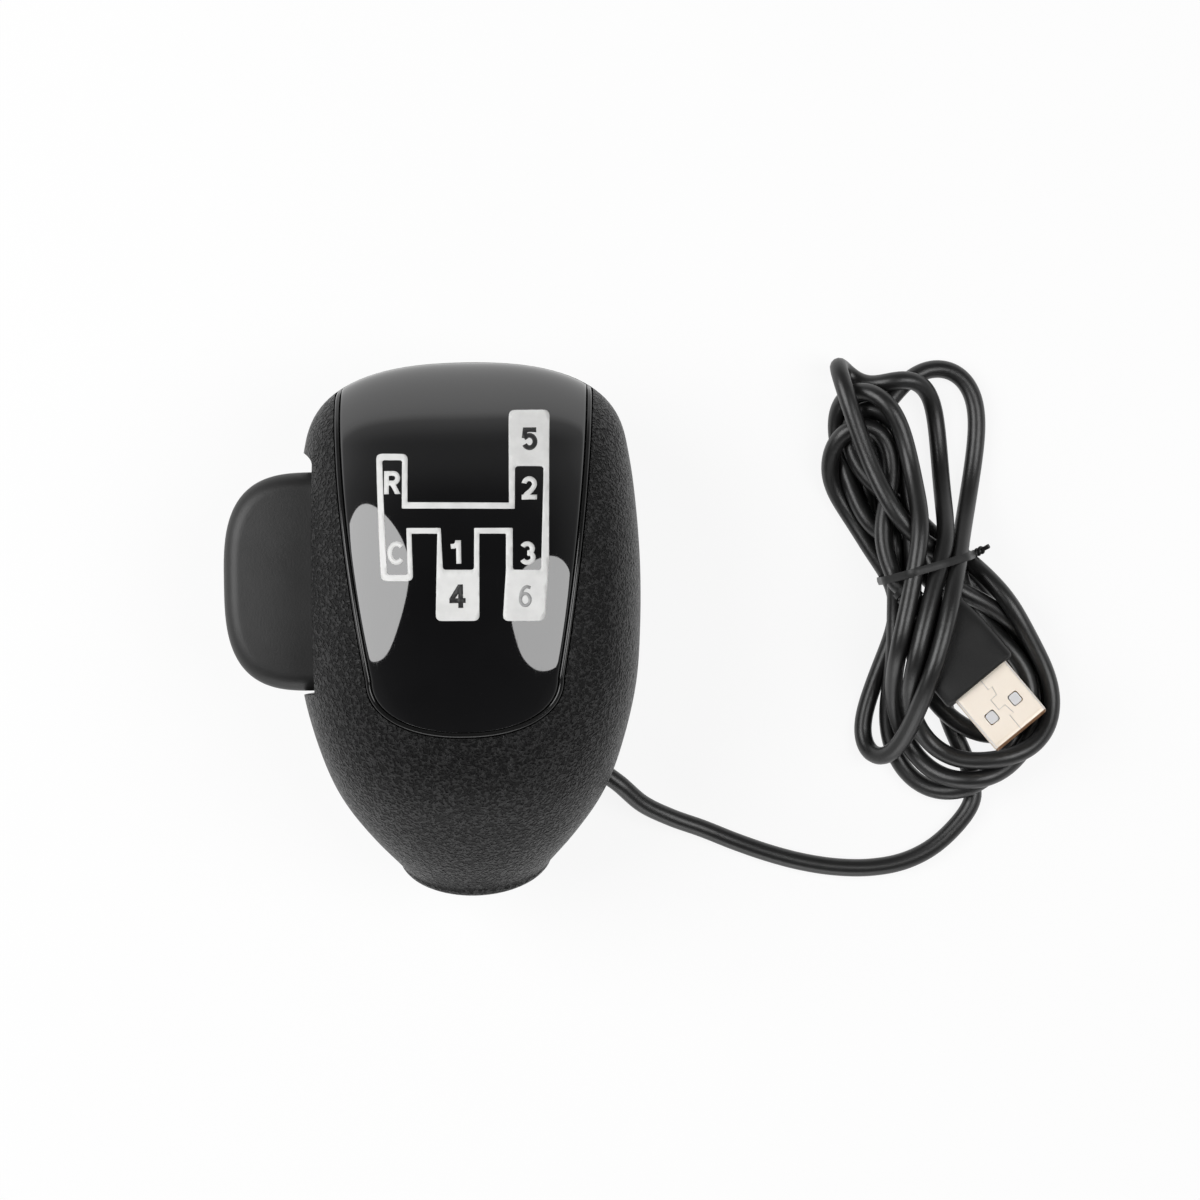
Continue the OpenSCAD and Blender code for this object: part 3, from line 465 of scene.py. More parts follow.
def settle(line, held):
    """Lets a cord laid along the line settle: it keeps its length, bends softly and lies on itself."""
    points = line.copy()
    steps = step_lengths(line)
    order = np.arange(len(line))
    for turn in range(SETTLE_ROUNDS):
        late = turn / SETTLE_ROUNDS
        if turn % LOOK_EVERY == 0:
            apart = ((points[:, None, :] - points[None, :, :]) ** 2).sum(-1)
            close = (apart < LOOK_REACH**2) & (order[None, :] - order[:, None] > SAME_STRAND)
            one, two = np.nonzero(close)
        points[:, :2] += HOLD_FLAT * (1 - late) ** HOLD_FLAT_POWER * (line - points)[:, :2]
        points[:, 2] += HOLD_HIGH * max(0, 1 - HOLD_HIGH_FADE * late) * (line - points)[:, 2]
        points[:, 2] -= SAG
        straighten(points)
        keep_length(points, steps)
        for _ in range(PUSH_ROUNDS):
            push_apart(points, one, two)
            points = off_plug(points)
            points[:, 2] = np.maximum(points[:, 2], ground(points))
        points[:held] = line[:held]
        points[-TAIL_HELD:] = line[-TAIL_HELD:]
    free = slice(held, -TAIL_HELD)
    for _ in range(EASE_ROUNDS):
        before = points[held - 1 : -TAIL_HELD - 1]
        after = points[held + 1 : 1 - TAIL_HELD]
        points[free] = (before + 2 * points[free] + after) / 4
    return points


laid_line = spaced(smooth_line(CORD_ROUTE, SPAN_STEPS), CORD_STEP)
lead_line = smooth_line(CORD_ROUTE[:LEAD_POINTS], SPAN_STEPS)
settled_line = settle(laid_line, int(line_length(lead_line) / CORD_STEP))
cord_line = smooth_line(settled_line, DRAWN_STEPS)
cord_curve = bpy.data.curves.new("tied_cable", "CURVE")
cord_curve.dimensions = "3D"
cord_curve.bevel_depth = CORD_R * MM
cord_curve.bevel_resolution = 5
cord_curve.use_fill_caps = True
cord_spline = cord_curve.splines.new("POLY")
cord_spline.points.add(len(cord_line) - 1)
for cord_point, place in zip(cord_spline.points, cord_line):
    cord_point.co = (*(MM * place), 1)
cord_spline.use_smooth = True
tied_cable = bpy.data.objects.new("tied_cable", cord_curve)
scene.collection.objects.link(tied_cable)


# Tie: a flat coated wire drawn round the strands, with its two ends twisted together
TIE_WIDTH = 1.5
TIE_THICK = 0.7
TIE_CLEAR = 0.05
TIE_CROSSING = (-5, 20)
TIE_STEP = 0.5
TIE_PROFILE = [
    (-0.5, -0.3), (-0.25, -0.42), (0, -0.5), (0.25, -0.42), (0.5, -0.3),
    (0.5, 0.3), (0.25, 0.42), (0, 0.5), (-0.25, 0.42), (-0.5, 0.3),
]
WIRE_HALVES = (0.42, 0.34)
TWIST_WAY = unit(np.array([TIE_WAY[0], TIE_WAY[1] + 0.25, 0.15]))
TWIST_LENGTH = 3.2
TWIST_STEPS = 40
TWIST_HALF_TURNS = 2.5
TWISTED_SHARE = 0.6
END_SPREAD = 1.5
END_POWER = 1.2


def tie_hull():
    """The closed line just outside the strands, in steps along the tie's line and up."""
    along, beside = by_tie(cord_line)
    in_reach = (along[:-1] > TIE_CROSSING[0]) & (along[:-1] < TIE_CROSSING[1])
    crossing = np.nonzero((beside[:-1] * beside[1:] <= 0) & in_reach)[0]
    reach = CORD_R + TIE_THICK / 2 + TIE_CLEAR
    rim = []
    for k in crossing:
        share = beside[k] / (beside[k] - beside[k + 1])
        centre = cord_line[k] + share * (cord_line[k + 1] - cord_line[k])
        middle = (centre[:2] - TIE_LEFT) @ TIE_WAY
        rim += [(middle + s, centre[2] + h) for s, h in oval(reach, reach, 24)]
    return np.array([rim[k] for k in convex_hull_2d(rim)])


tie_flat = tie_hull()
tie_loop = spaced(np.vstack([tie_flat, tie_flat[:1]]), TIE_STEP)[:-1]


def tie_place(flat):
    return np.array([*(TIE_LEFT + flat[0] * TIE_WAY), flat[1]])


def tie_rings():
    centre = tie_loop.mean(0)
    side = np.array([*TIE_SQUARE, 0])
    rings = []
    for k, flat in enumerate(tie_loop):
        step = tie_loop[(k + 1) % len(tie_loop)] - tie_loop[k - 1]
        out = unit(np.array([step[1], -step[0]]))
        if out @ (flat - centre) < 0:
            out = -out
        up = np.array([*(out[0] * TIE_WAY), out[1]])
        base = tie_place(flat)
        rings.append([base + TIE_WIDTH * s * side + TIE_THICK * h * up for s, h in TIE_PROFILE])
    return rings


def twisted_ends():
    """Two wire ends twisted round each other, then spread apart, at the tie's right-hand end."""
    start = tie_place(tie_loop[np.argmax(tie_loop[:, 0])])
    side = unit(np.cross(TWIST_WAY, [0, 0, 1]))
    up = np.cross(side, TWIST_WAY)
    parts = []
    for phase in (0, math.pi):
        path = []
        for t in np.linspace(0, 1, TWIST_STEPS):
            angle = phase + TWIST_HALF_TURNS * math.pi * min(t, TWISTED_SHARE) / TWISTED_SHARE
            spread = WIRE_HALVES[0] + END_SPREAD * max(0, t - TWISTED_SHARE) ** END_POWER
            out = math.cos(angle) * side + math.sin(angle) * up
            path.append(start + TWIST_LENGTH * t * TWIST_WAY + spread * out)
        parts.append(skin(sweep(path, [up] * len(path), oval(*WIRE_HALVES, 9))))
    return parts


tie_parts = [skin(tie_rings(), closed=True)] + twisted_ends()
twist_tie = mesh_piece("twist_tie", *joined(tie_parts), sharp_angle=50)


# Grip: rows of sections, as in the model, closed towards the front by the cap's shares
CENTRE_X = 6.6
HALF_WIDTH = 31.7
HALF_LENGTH = 49.3
BODY_LENGTH = 98.6
BODY_HEIGHT = 57.6
NECK_TILT = math.radians(27.5)
NECK_R = 14.5
NECK_LIP = 2
NECK_WALL = 8
LIP_STEPS = 6
RIM_Y = -HALF_LENGTH + (NECK_R - NECK_LIP) * math.sin(NECK_TILT) + NECK_LIP
RIM_Z = (NECK_R - NECK_LIP) * math.cos(NECK_TILT) + NECK_LIP
NECK_IN = np.array([0, math.cos(NECK_TILT), math.sin(NECK_TILT)])
NECK_END = np.array([CENTRE_X, RIM_Y, RIM_Z]) - NECK_LIP * NECK_IN
# Half width, rise and drop just past the neck, as shares of the grip's half width and height
NECK_SHARES = np.array([0.64, 0.3385, 0.297])
# Each section in shares of the grip's sizes: place, height, lean in degrees, half width, rise and drop
SECTIONS = [
    (-0.28, 0.352, 22.5, 0.789, 0.417, 0.35),
    (-0.2, 0.405, 18, 0.886, 0.49, 0.402),
    (-0.1, 0.448, 11, 0.965, 0.525, 0.448),
    (0, 0.469, 5, 0.994, 0.531, 0.469),
    (0.12, 0.474, 0, 1, 0.522, 0.472),
    (0.24, 0.474, 0, 0.978, 0.474, 0.47),
    (0.34, 0.479, 0, 0.937, 0.387, 0.424),
    (0.5, 0.486, 0, 0.836, 0.217, 0.273),
]
FRONT_POWERS = (2.3, 3.2)
CROWN_POWERS = (2, 2.4)
CROWN_POWER = 2.6
BACK_POWER = 2.8
SHELL_WALL = 2.6
CROWN_WALL = 5.4


def control_rows():
    """The neck's two sections and the grip's, in millimetres and degrees, with one more at each end."""
    lean = math.degrees(NECK_TILT)
    past_neck = np.array([RIM_Y, RIM_Z]) + NECK_WALL * NECK_IN[1:]
    scale = np.array([BODY_LENGTH, BODY_HEIGHT, 1, HALF_WIDTH, BODY_HEIGHT, BODY_HEIGHT])
    rows = [np.array([RIM_Y, RIM_Z, lean, NECK_R, NECK_R, NECK_R])]
    rows.append(np.concatenate([past_neck, [lean], NECK_SHARES * scale[3:]]))
    rows += [np.array(s) * scale for s in SECTIONS]
    return run_on(np.array(rows))


ROWS = control_rows()
SPANS = len(ROWS) - 3
TIP_Z = ROWS[-2][1]


def spline_row(span, t):
    return spline_point(ROWS[span : span + 4], t)


def cap_share(t, powers):
    return max(0, 1 - t ** powers[1]) ** (1 / powers[0])


def grown(row, sides, crown, back, t, tip):
    front = cap_share(t, FRONT_POWERS)
    upright = cap_share(t, CROWN_POWERS)
    return np.array([
        row[0] + tip * t, row[1], row[2], (row[3] + sides) * front,
        (row[4] + crown) * upright, (row[5] + back) * upright,
    ])


def body_rows(first_span, sides, crown, back, span_steps, cap_steps):
    rows = []
    for span in range(first_span, SPANS - 1):
        for k in range(span_steps):
            rows.append(grown(spline_row(span, k / span_steps), sides, crown, back, 0, 0))
    for k in range(cap_steps):
        t = math.sin(math.pi / 2 * k / cap_steps)
        rows.append(grown(spline_row(SPANS - 1, t), sides, crown, back, t, sides))
    return rows


def head_share(y):
    t = np.clip((y - RIM_Y) / -RIM_Y, 0, 1)
    return t * t * (3 - 2 * t)


def signed_power(value, power):
    return np.sign(value) * np.abs(value) ** power


def section_ring(row, count):
    angles = full_turn(count)
    up_power = 2 / (2 + (CROWN_POWER - 2) * head_share(row[0]))
    down_power = 2 / (2 + (BACK_POWER - 2) * head_share(row[0]))
    power = np.where(np.sin(angles) < 0, down_power, up_power)
    side = row[3] * signed_power(np.cos(angles), power)
    lift = signed_power(np.sin(angles), power) * np.where(np.sin(angles) < 0, row[5], row[4])
    lean = math.radians(row[2])
    return np.stack([CENTRE_X + side, row[0] - lift * math.sin(lean), row[1] + lift * math.cos(lean)], 1)


def lip_rows(grow, steps):
    rows = []
    for k in range(steps):
        angle = math.pi / 2 * k / steps
        radius = NECK_R - NECK_LIP * (1 - math.sin(angle)) + grow
        out = NECK_LIP * math.cos(angle)
        rows.append([
            RIM_Y - out * NECK_IN[1], RIM_Z - out * NECK_IN[2], math.degrees(NECK_TILT),
            radius, radius, radius,
        ])
    return rows


def grip_form(grow, span_steps, cap_steps, count):
    rows = lip_rows(grow, LIP_STEPS) + body_rows(0, grow, grow, grow, span_steps, cap_steps)
    tip = (CENTRE_X, HALF_LENGTH + grow, TIP_Z)
    return mesh_piece("grip_form", *skin([section_ring(r, count) for r in rows], NECK_END, tip))


# Paddle's place, and the flat that it comes out of
POCKET_X = -20.9
POCKET_DEPTH = 4.2
POCKET_UPPER = 20.9
POCKET_LOWER = 20.4
UPPER_RAMP = 4.5
LOWER_RAMP = 0.5
POCKET_FLARE = 2
PIN = np.array([-15.4, 9.432, 29.0024])
PIN_D = 3.1
PADDLE_HALF = 20.1
BARREL_D = 12
SLOT_ROOM = 0.5
SLOT_OUT = 10
SLOT_IN = 4
FAR = 100


def pocket_end(wall, half, pocket_ramp):
    flare = POCKET_DEPTH + wall + POCKET_FLARE
    shares = np.linspace(0, 1, 16)
    return [(POCKET_X + wall - flare * t * t, half + wall + pocket_ramp * t) for t in shares]


def pocket(wall):
    upper = [(x, PIN[1] + y) for x, y in pocket_end(wall, POCKET_UPPER, UPPER_RAMP)]
    lower = [(x, PIN[1] - y) for x, y in pocket_end(wall, POCKET_LOWER, LOWER_RAMP)[::-1]]
    outside = [(POCKET_X - FAR, upper[-1][1]), (POCKET_X - FAR, lower[0][1])]
    return prism(upper + outside + lower, -FAR, FAR)


def paddle_slot():
    reach = np.array([PADDLE_HALF, BARREL_D / 2]) + SLOT_ROOM
    low = (POCKET_X - SLOT_OUT, *(PIN[1:] - reach))
    high = (POCKET_X + SHELL_WALL + SLOT_IN, *(PIN[1:] + reach))
    return box_cutter(low, high)


# Screws, the posts that they run in, and the gland's boss
SHELL_SCREWS = [(-6.4, 36.7, 15), (19.6, 36.7, 15), (-8.4, -17.968, 9), (27.6, -11.868, 9)]
SHELL_HOLE_D = 2.7
SHELL_HOLE_REACH = 20
SHELL_HEAD_D = 6
SMALL_HOLE_D = 1.9
BRACKET_HOLE_REACH = 8.5
BOARD_HOLE_REACH = 6
POST_D = 6.8
POST_BASE = -20
POST_REACH = 60
UP = np.array([0, 0, 1.0])
bracket_low, bracket_high = (np.array(corner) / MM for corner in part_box("bracket_screws"))
BRACKET_HEAD_R = 1.7
BRACKET_POST_RISE = 3.9
BRACKET_POST_Z = bracket_low[2] + BRACKET_POST_RISE
BRACKET_SCREWS = [
    ((bracket_low[0] + bracket_high[0]) / 2, y, BRACKET_POST_Z)
    for y in (bracket_low[1] + BRACKET_HEAD_R, bracket_high[1] - BRACKET_HEAD_R)
]
BOARD_CENTRE = (7.6, 13.032)
BOARD_HOLE_STEPS = (15.4, 9.4)
BOARD_Z = 7
BOARD_POST_D = 5
CORNERS = ((-1, -1), (1, -1), (1, 1), (-1, 1))
BOARD_POSTS = [
    (BOARD_CENTRE[0] + sx * BOARD_HOLE_STEPS[0], BOARD_CENTRE[1] + sy * BOARD_HOLE_STEPS[1], POST_BASE)
    for sx, sy in CORNERS
]
GLAND_D = 7.2
GLAND_LENGTH = 9
GLAND_BOSS_WALL = 2
GLAND_BOSS_OUT = 5
SET_SCREW_PLACE = 5.5
SET_SCREW_ANGLES = (-40, 40)
SET_SCREW_D = 4.1
SET_SCREW_REACH = 29


def cavity():
    rows = body_rows(1, -SHELL_WALL, -CROWN_WALL, -SHELL_WALL, 5, 12)
    start = (CENTRE_X, ROWS[2][0], ROWS[2][1])
    tip = (CENTRE_X, HALF_LENGTH - SHELL_WALL, TIP_Z)
    form = mesh_piece("cavity", *skin([section_ring(r, 96) for r in rows], start, tip))
    posts = [rod((x, y, POST_BASE), UP, FAR, POST_D) for x, y, z in SHELL_SCREWS]
    posts += [rod(place, UP, POST_REACH, POST_D) for place in BRACKET_SCREWS]
    posts += [rod(place, UP, BOARD_Z - POST_BASE, BOARD_POST_D) for place in BOARD_POSTS]
    boss_start = GLAND_AT - GLAND_LENGTH * GLAND_WAY
    boss_d = GLAND_D + 2 * GLAND_BOSS_WALL
    posts.append(rod(boss_start, GLAND_WAY, GLAND_LENGTH + GLAND_BOSS_OUT, boss_d))
    return cut(form, [pocket(SHELL_WALL)] + posts)


def set_screw_holes():
    back = np.array([0, math.sin(NECK_TILT), -math.cos(NECK_TILT)])
    side = np.array([1.0, 0, 0])
    base = NECK_END + SET_SCREW_PLACE * NECK_IN
    holes = []
    for angle in np.radians(SET_SCREW_ANGLES):
        way = math.cos(angle) * back + math.sin(angle) * side
        holes.append(rod(base, way, SET_SCREW_REACH, SET_SCREW_D, 32))
    return holes


# Panel: outline of its seat in the crown, with bowed sides down to a round end
PANEL_END_Y = -19.1
PANEL_ROUND = 10.6
PANEL_LOW_Y = PANEL_END_Y + PANEL_ROUND
PANEL_TOP_Y = 43.3
PANEL_LOW_HALF = 17.8
PANEL_TOP_HALF = 23.6
PANEL_BOW = 1.6
PANEL_END_POWER = 2.2
PANEL_T = 2
PANEL_SKIRT = 30
SLACK = 0.12
TRIM_WIDTH = 0.9
PANEL_INSET = TRIM_WIDTH + 2 * SLACK
PANEL_TOP_Z = 120
PANEL_PAST_TIP = 10


def panel_half(y, inset):
    """Half width of the panel at a place along the grip."""
    t = np.clip((y - PANEL_LOW_Y) / (PANEL_TOP_Y - PANEL_LOW_Y), 0, 1)
    bowed = PANEL_LOW_HALF + (PANEL_TOP_HALF - PANEL_LOW_HALF) * (1 - (1 - t) ** PANEL_BOW) - inset
    depth = np.clip((PANEL_LOW_Y - y) / (PANEL_ROUND - inset), 0, 1)
    return bowed * (1 - depth**PANEL_END_POWER) ** (1 / PANEL_END_POWER)


def panel_prism(inset, low):
    turn = np.linspace(0, math.pi / 2, 40)
    ends = PANEL_LOW_Y - (PANEL_ROUND - inset) * np.sin(turn) ** (2 / PANEL_END_POWER)
    sides = np.linspace(PANEL_TOP_Y, PANEL_LOW_Y, 60)[:-1]
    places = np.concatenate([[HALF_LENGTH + PANEL_PAST_TIP], sides, ends])
    right = [(CENTRE_X + float(panel_half(y, inset)), float(y)) for y in places]
    left = [(2 * CENTRE_X - x, y) for x, y in right[-2::-1]]
    return prism(right + left, low, PANEL_TOP_Z)


# Seam of the two shells: a plane from the neck's rim to the front tip
SEAM_GAP = 0.15
SEAM_TILT = math.atan2(TIP_Z - RIM_Z, HALF_LENGTH - RIM_Y)
SEAM_REACH = 200
SEAM_LINE = 0.7
SEAM_LINE_DEPTH = 0.5


def seam_half(gap, upper):
    """Half of all space on one side of the seam's plane."""
    across = np.array([1.0, 0, 0])
    along = np.array([0, math.cos(SEAM_TILT), math.sin(SEAM_TILT)])
    out = np.array([0, -math.sin(SEAM_TILT), math.cos(SEAM_TILT)])
    middle = np.array([0, RIM_Y, RIM_Z + gap / 2])
    face = [middle + SEAM_REACH * (sx * across + sy * along) for sx, sy in CORNERS]
    depth = SEAM_REACH if upper else -SEAM_REACH
    return cutter([face, [point + depth * out for point in face]])


def seam_line():
    """A shallow groove round the grip where the two shells meet."""
    slab = seam_half(-SEAM_LINE, True)
    return cut(slab, [seam_half(SEAM_LINE, True), grip_form(-SEAM_LINE_DEPTH, 8, 18, 160)])


def panel_seat():
    return cut(panel_prism(0, PANEL_SKIRT - SLACK), [grip_form(-PANEL_T - SLACK, 6, 14, 120)])


SLEEVE_D = 19.1
SLEEVE_HOLE_REACH = 30
GLAND_SLACK = 0.1


def grip_shell(name, upper):
    shell = grip_form(0, 14, 26, 200)
    shell.name = name
    cutters = [cavity(), pocket(0), paddle_slot(), seam_line()]
    cutters.append(rod(NECK_END - NECK_IN, NECK_IN, SLEEVE_HOLE_REACH, SLEEVE_D, 64))
    cutters += [rod(np.array(p) - UP, UP, SHELL_HOLE_REACH, SHELL_HOLE_D, 24) for p in SHELL_SCREWS]
    if upper:
        cutters.append(panel_seat())
        cutters += [rod(np.array(p) - UP, UP, BRACKET_HOLE_REACH, SMALL_HOLE_D, 24) for p in BRACKET_SCREWS]
    else:
        gland_start = GLAND_AT - 2 * GLAND_LENGTH * GLAND_WAY
        cutters += [rod((x, y, z - POST_REACH), UP, POST_REACH, SHELL_HEAD_D, 40) for x, y, z in SHELL_SCREWS]
        cutters.append(rod(gland_start, GLAND_WAY, 4 * GLAND_LENGTH, GLAND_D + GLAND_SLACK))
        board_holes = [(x, y, SHELL_WALL) for x, y, z in BOARD_POSTS]
        cutters += [rod(p, UP, BOARD_HOLE_REACH, SMALL_HOLE_D, 24) for p in board_holes]
        cutters += set_screw_holes()
    cut(shell, cutters)
    cut(shell, [seam_half(SEAM_GAP if upper else -SEAM_GAP, upper)], "INTERSECT")
    return shade(shell, 38)


grip_top = grip_shell("grip_top", True)
grip_back = grip_shell("grip_back", False)

# The crown's smooth surface, by place along the grip's rows and step to the side
CAP_ROWS = 240
TRACK = np.array(body_rows(0, 0, 0, 0, 60, CAP_ROWS))
TRACK_PLACES = np.arange(len(TRACK))
CAP_START = len(TRACK) - CAP_ROWS
LAST_PLACE = len(TRACK) - 1
HALVINGS = 50


def crown_points(place, side):
    """Points on the crown for arrays of row places and side steps."""
    row = [np.interp(place, TRACK_PLACES, TRACK[:, k]) for k in range(6)]
    power = 2 / (2 + (CROWN_POWER - 2) * head_share(row[0]))
    share = np.clip(np.abs(side) / row[3], 0, 1)
    lift = row[4] * np.maximum(0, 1 - share ** (2 / power)) ** (power / 2)
    lean = np.radians(row[2])
    return np.stack([CENTRE_X + side, row[0] - lift * np.sin(lean), row[1] + lift * np.cos(lean)], -1)


def bisected(low, high, holds):
    """The places up to which a test holds, found by halving."""
    for _ in range(HALVINGS):
        middle = (low + high) / 2
        held = holds(middle)
        low = np.where(held, middle, low)
        high = np.where(held, high, middle)
    return low


def place_for(side, y):
    """Row places where the crown, at those side steps, reaches y."""
    ends = (np.zeros_like(side), np.full_like(side, LAST_PLACE))
    return bisected(*ends, lambda place: crown_points(place, side)[..., 1] < y)


def front_places(sides):
    """Row places at the front where the crown comes down to the skirt's edge."""
    ends = (np.full_like(sides, CAP_START), np.full_like(sides, LAST_PLACE))
    return bisected(*ends, lambda place: crown_points(place, sides)[..., 2] > PANEL_SKIRT)


def crown_normals(place, side):
    step = 0.05
    along = crown_points(place + step, side) - crown_points(place - step, side)
    across = crown_points(place, side + step) - crown_points(place, side - step)
    normal = np.cross(across, along)
    return normal / np.linalg.norm(normal, axis=-1, keepdims=True)


def panel_edge(inset):
    """Row places from the round end to the skirt, and the half width of the panel at each."""
    crown_y, crown_z = crown_points(TRACK_PLACES, np.zeros(len(TRACK)))[:, 1:].T
    end_place = np.interp(PANEL_END_Y + inset, crown_y, TRACK_PLACES)
    low_place = np.interp(PANEL_LOW_Y, crown_y, TRACK_PLACES)
    last_place = CAP_START + np.interp(-PANEL_SKIRT, -crown_z[CAP_START:], np.arange(CAP_ROWS))
    round_places = end_place + (low_place - end_place) * np.linspace(0, 1, 48) ** 2
    straight = np.linspace(low_place, CAP_START, 70)[1:]
    front = CAP_START + (last_place - CAP_START) * np.linspace(0, 1, 40)[1:]
    places = np.concatenate([round_places, straight, front])

    def within(half):
        points = crown_points(places, half)
        fits = (half <= panel_half(points[:, 1], inset)) & (points[:, 2] >= PANEL_SKIRT)
        return fits & (points[:, 1] >= PANEL_END_Y + inset)

    widest = np.full_like(places, PANEL_TOP_HALF + 2)
    return places, bisected(np.zeros_like(places), widest, within)


SHEET_T = 1.7
EDGE_WIDTH = 0.5
EDGE_DROP = 0.22


def panel_sheet():
    """The panel as a sheet on the crown, with its edge eased down."""
    places, halves = panel_edge(PANEL_INSET)
    shares = np.sin(np.linspace(-math.pi / 2, math.pi / 2, 61))
    place_grid = np.repeat(places[:, None], len(shares), 1)
    side_grid = halves[:, None] * shares[None, :]
    normals = crown_normals(place_grid, side_grid)
    rim = np.minimum(1, (1 - np.abs(shares)) * halves[:, None] / EDGE_WIDTH)
    drop = EDGE_DROP * (1 - np.sqrt(1 - (1 - rim) ** 2))
    top = crown_points(place_grid, side_grid) - drop[..., None] * normals
    bottom = top - SHEET_T * normals
    rows, columns = place_grid.shape
    points = list(top.reshape(-1, 3)) + list(bottom.reshape(-1, 3))
    half = rows * columns
    faces = []
    for i in range(rows - 1):
        for k in range(columns - 1):
            a = i * columns + k
            face = (a, a + 1, a + columns + 1, a + columns)
            faces.append(face)
            faces.append(tuple(half + v for v in face[::-1]))
    rim_loop = list(range(columns))
    rim_loop += [i * columns + columns - 1 for i in range(1, rows)]
    rim_loop += [(rows - 1) * columns + k for k in range(columns - 2, -1, -1)]
    rim_loop += [i * columns for i in range(rows - 2, 0, -1)]
    for k, a in enumerate(rim_loop):
        b = rim_loop[(k + 1) % len(rim_loop)]
        faces.append((a, a + half, b + half, b))
    return points, faces


shift_panel = mesh_piece("shift_panel", *panel_sheet(), sharp_angle=50)


# Bead round the panel: half-round, a little proud of the crown, and lower towards the skirt
BEAD_HALF = TRIM_WIDTH / 2
BEAD_RISE = 0.42
BEAD_SINK = 0.2
BEAD_LOWER = 0.25
LOWER_FROM = 6
LOWER_OVER = 5
CORNER_SHRINK = 0.5


def bead():
    places, halves = panel_edge(SLACK + BEAD_HALF)
    shrink = -np.diff(halves, append=halves[-1])
    corner = np.argmax((places > CAP_START) & (shrink > CORNER_SHRINK))
    along_skirt = np.linspace(halves[corner], 0, 24)
    places = np.concatenate([places[1:corner], front_places(along_skirt)])
    halves = np.concatenate([halves[1:corner], along_skirt])
    all_places = np.concatenate([places[::-1], places])
    all_sides = np.concatenate([-halves[::-1], halves])
    path = crown_points(all_places, all_sides)
    normals = crown_normals(all_places, all_sides)
    low = np.clip((PANEL_SKIRT + LOWER_FROM - path[:, 2]) / LOWER_OVER, 0, 1)
    path = path - (BEAD_LOWER * low)[:, None] * normals
    return skin(sweep(path, normals, oval(BEAD_HALF, BEAD_RISE, 20, -BEAD_SINK)))


panel_bead = mesh_piece("panel_bead", *bead(), sharp_angle=60)


# Shift pattern: one outlined channel with three filled ends, and the gear marks
CHANNEL_OUTER = [
    (-15.3, 31.9, 1.1), (-9.6, 31.7, 1.1), (-9.6, 23, 0.2), (8.4, 22.6, 0.2), (8.4, 39.5, 1.2),
    (15.7, 39.5, 1.2), (15.3, 12.3, 0), (14.4, 1.6, 1.1), (7, 1.7, 1.1), (7.7, 10.5, 0), (7.8, 17.1, 0.2),
    (3.1, 17.2, 0.2), (2.9, 1.8, 1.1), (-4.8, 1.9, 1.1), (-4.3, 17.3, 0.2), (-8.9, 17.4, 0.2),
    (-8.7, 9, 1.1), (-14.4, 9.1, 1.1),
]
CHANNEL_INNER = [
    (-14.2, 30.7, 0.5), (-10.6, 30.6, 0.5), (-10.6, 21.9, 0.2), (9.4, 21.5, 0.2), (9.5, 29.2, 0.7),
    (14.6, 29.1, 0.7), (13.9, 10.6, 0.5), (8.9, 10.7, 0.5), (9, 18.1, 0.2), (2.2, 18.2, 0.2),
    (2.1, 10.8, 0.6), (-3.4, 10.9, 0.6), (-3.7, 18.3, 0.2), (-9.8, 18.4, 0.2), (-9.6, 10.1, 0.5),
    (-13.3, 10.2, 0.5),
]
LIGHT_GLYPHS = [("R", -12.4, 26.6), ("C", -11.7, 14), ("1", -1, 14), ("2", 12, 25.2), ("3", 11.6, 13.6)]
DARK_GLYPHS = [("5", 12.1, 34.1), ("4", -0.9, 6.2)]
GREY_GLYPHS = [("6", 11, 6)]
GLYPH_HALF = 2.075
STROKE = 0.86
THIN_STROKE = 0.56
PRINT_RISE = 0.05
MARK_RISE = 0.09
PRINT_T = 0.08
PRINT_STEP = 1.2
SPLIT_ROUNDS = 4
MERGE_REACH = 0.001
FACING_UP = 0.9


def arc(x, y, reach_x, reach_y, first, last):
    """Points of an oval's arc, between two angles in degrees."""
    angles = np.radians(np.linspace(first, last, 25))
    return [(x + reach_x * math.cos(a), y + reach_y * math.sin(a)) for a in angles]


# Each mark: the middle lines of its strokes
STROKES = {
    "R": [
        [(-0.98, -2.2), (-0.98, 2.07)], [(-0.98, 1.65), (0.2, 1.65)] + arc(0.2, 0.78, 0.82, 0.87, 80, -80),
        [(-0.98, -0.09), (0.36, -0.09)], [(0.02, -0.05), (1.25, -2.4)],
    ],
    "C": [arc(0.12, 0, 1.22, 1.65, 42, 318)],
    "1": [[(0.42, -2.2), (0.42, 2.2)], [(-0.95, 0.98), (-0.3, 1.06), (0.12, 1.4), (0.3, 2)]],
    "2": [
        arc(0, 0.72, 0.92, 0.93, 172, -28) + [(0.4, -0.36), (-0.55, -1.15), (-0.9, -1.75)],
        [(-1.36, -1.65), (1.33, -1.65)],
    ],
    "3": [arc(-0.08, 0.8, 0.88, 0.85, 155, -90), arc(-0.08, -0.79, 1, 0.87, 90, -155)],
    "4": [[(0.55, -2.2), (0.55, 2.2)], [(-1.42, -0.78), (1.42, -0.78)], [(-1.12, -0.75), (0.6, 2)]],
    "5": [
        [(-0.83, 1.65), (1.2, 1.65)], [(-0.72, 2.07), (-0.96, 0.1)],
        [(-0.98, 0.12)] + arc(-0.02, -0.52, 0.98, 1.13, 132, -152),
    ],
    "6": [
        arc(0, -0.6, 0.84, 1.05, 0, 180), arc(0, -0.6, 0.84, 1.05, 180, 360),
        [(0.95, 1.5)] + arc(0.35, -0.6, 1.19, 2.26, 88, 180),
    ],
}


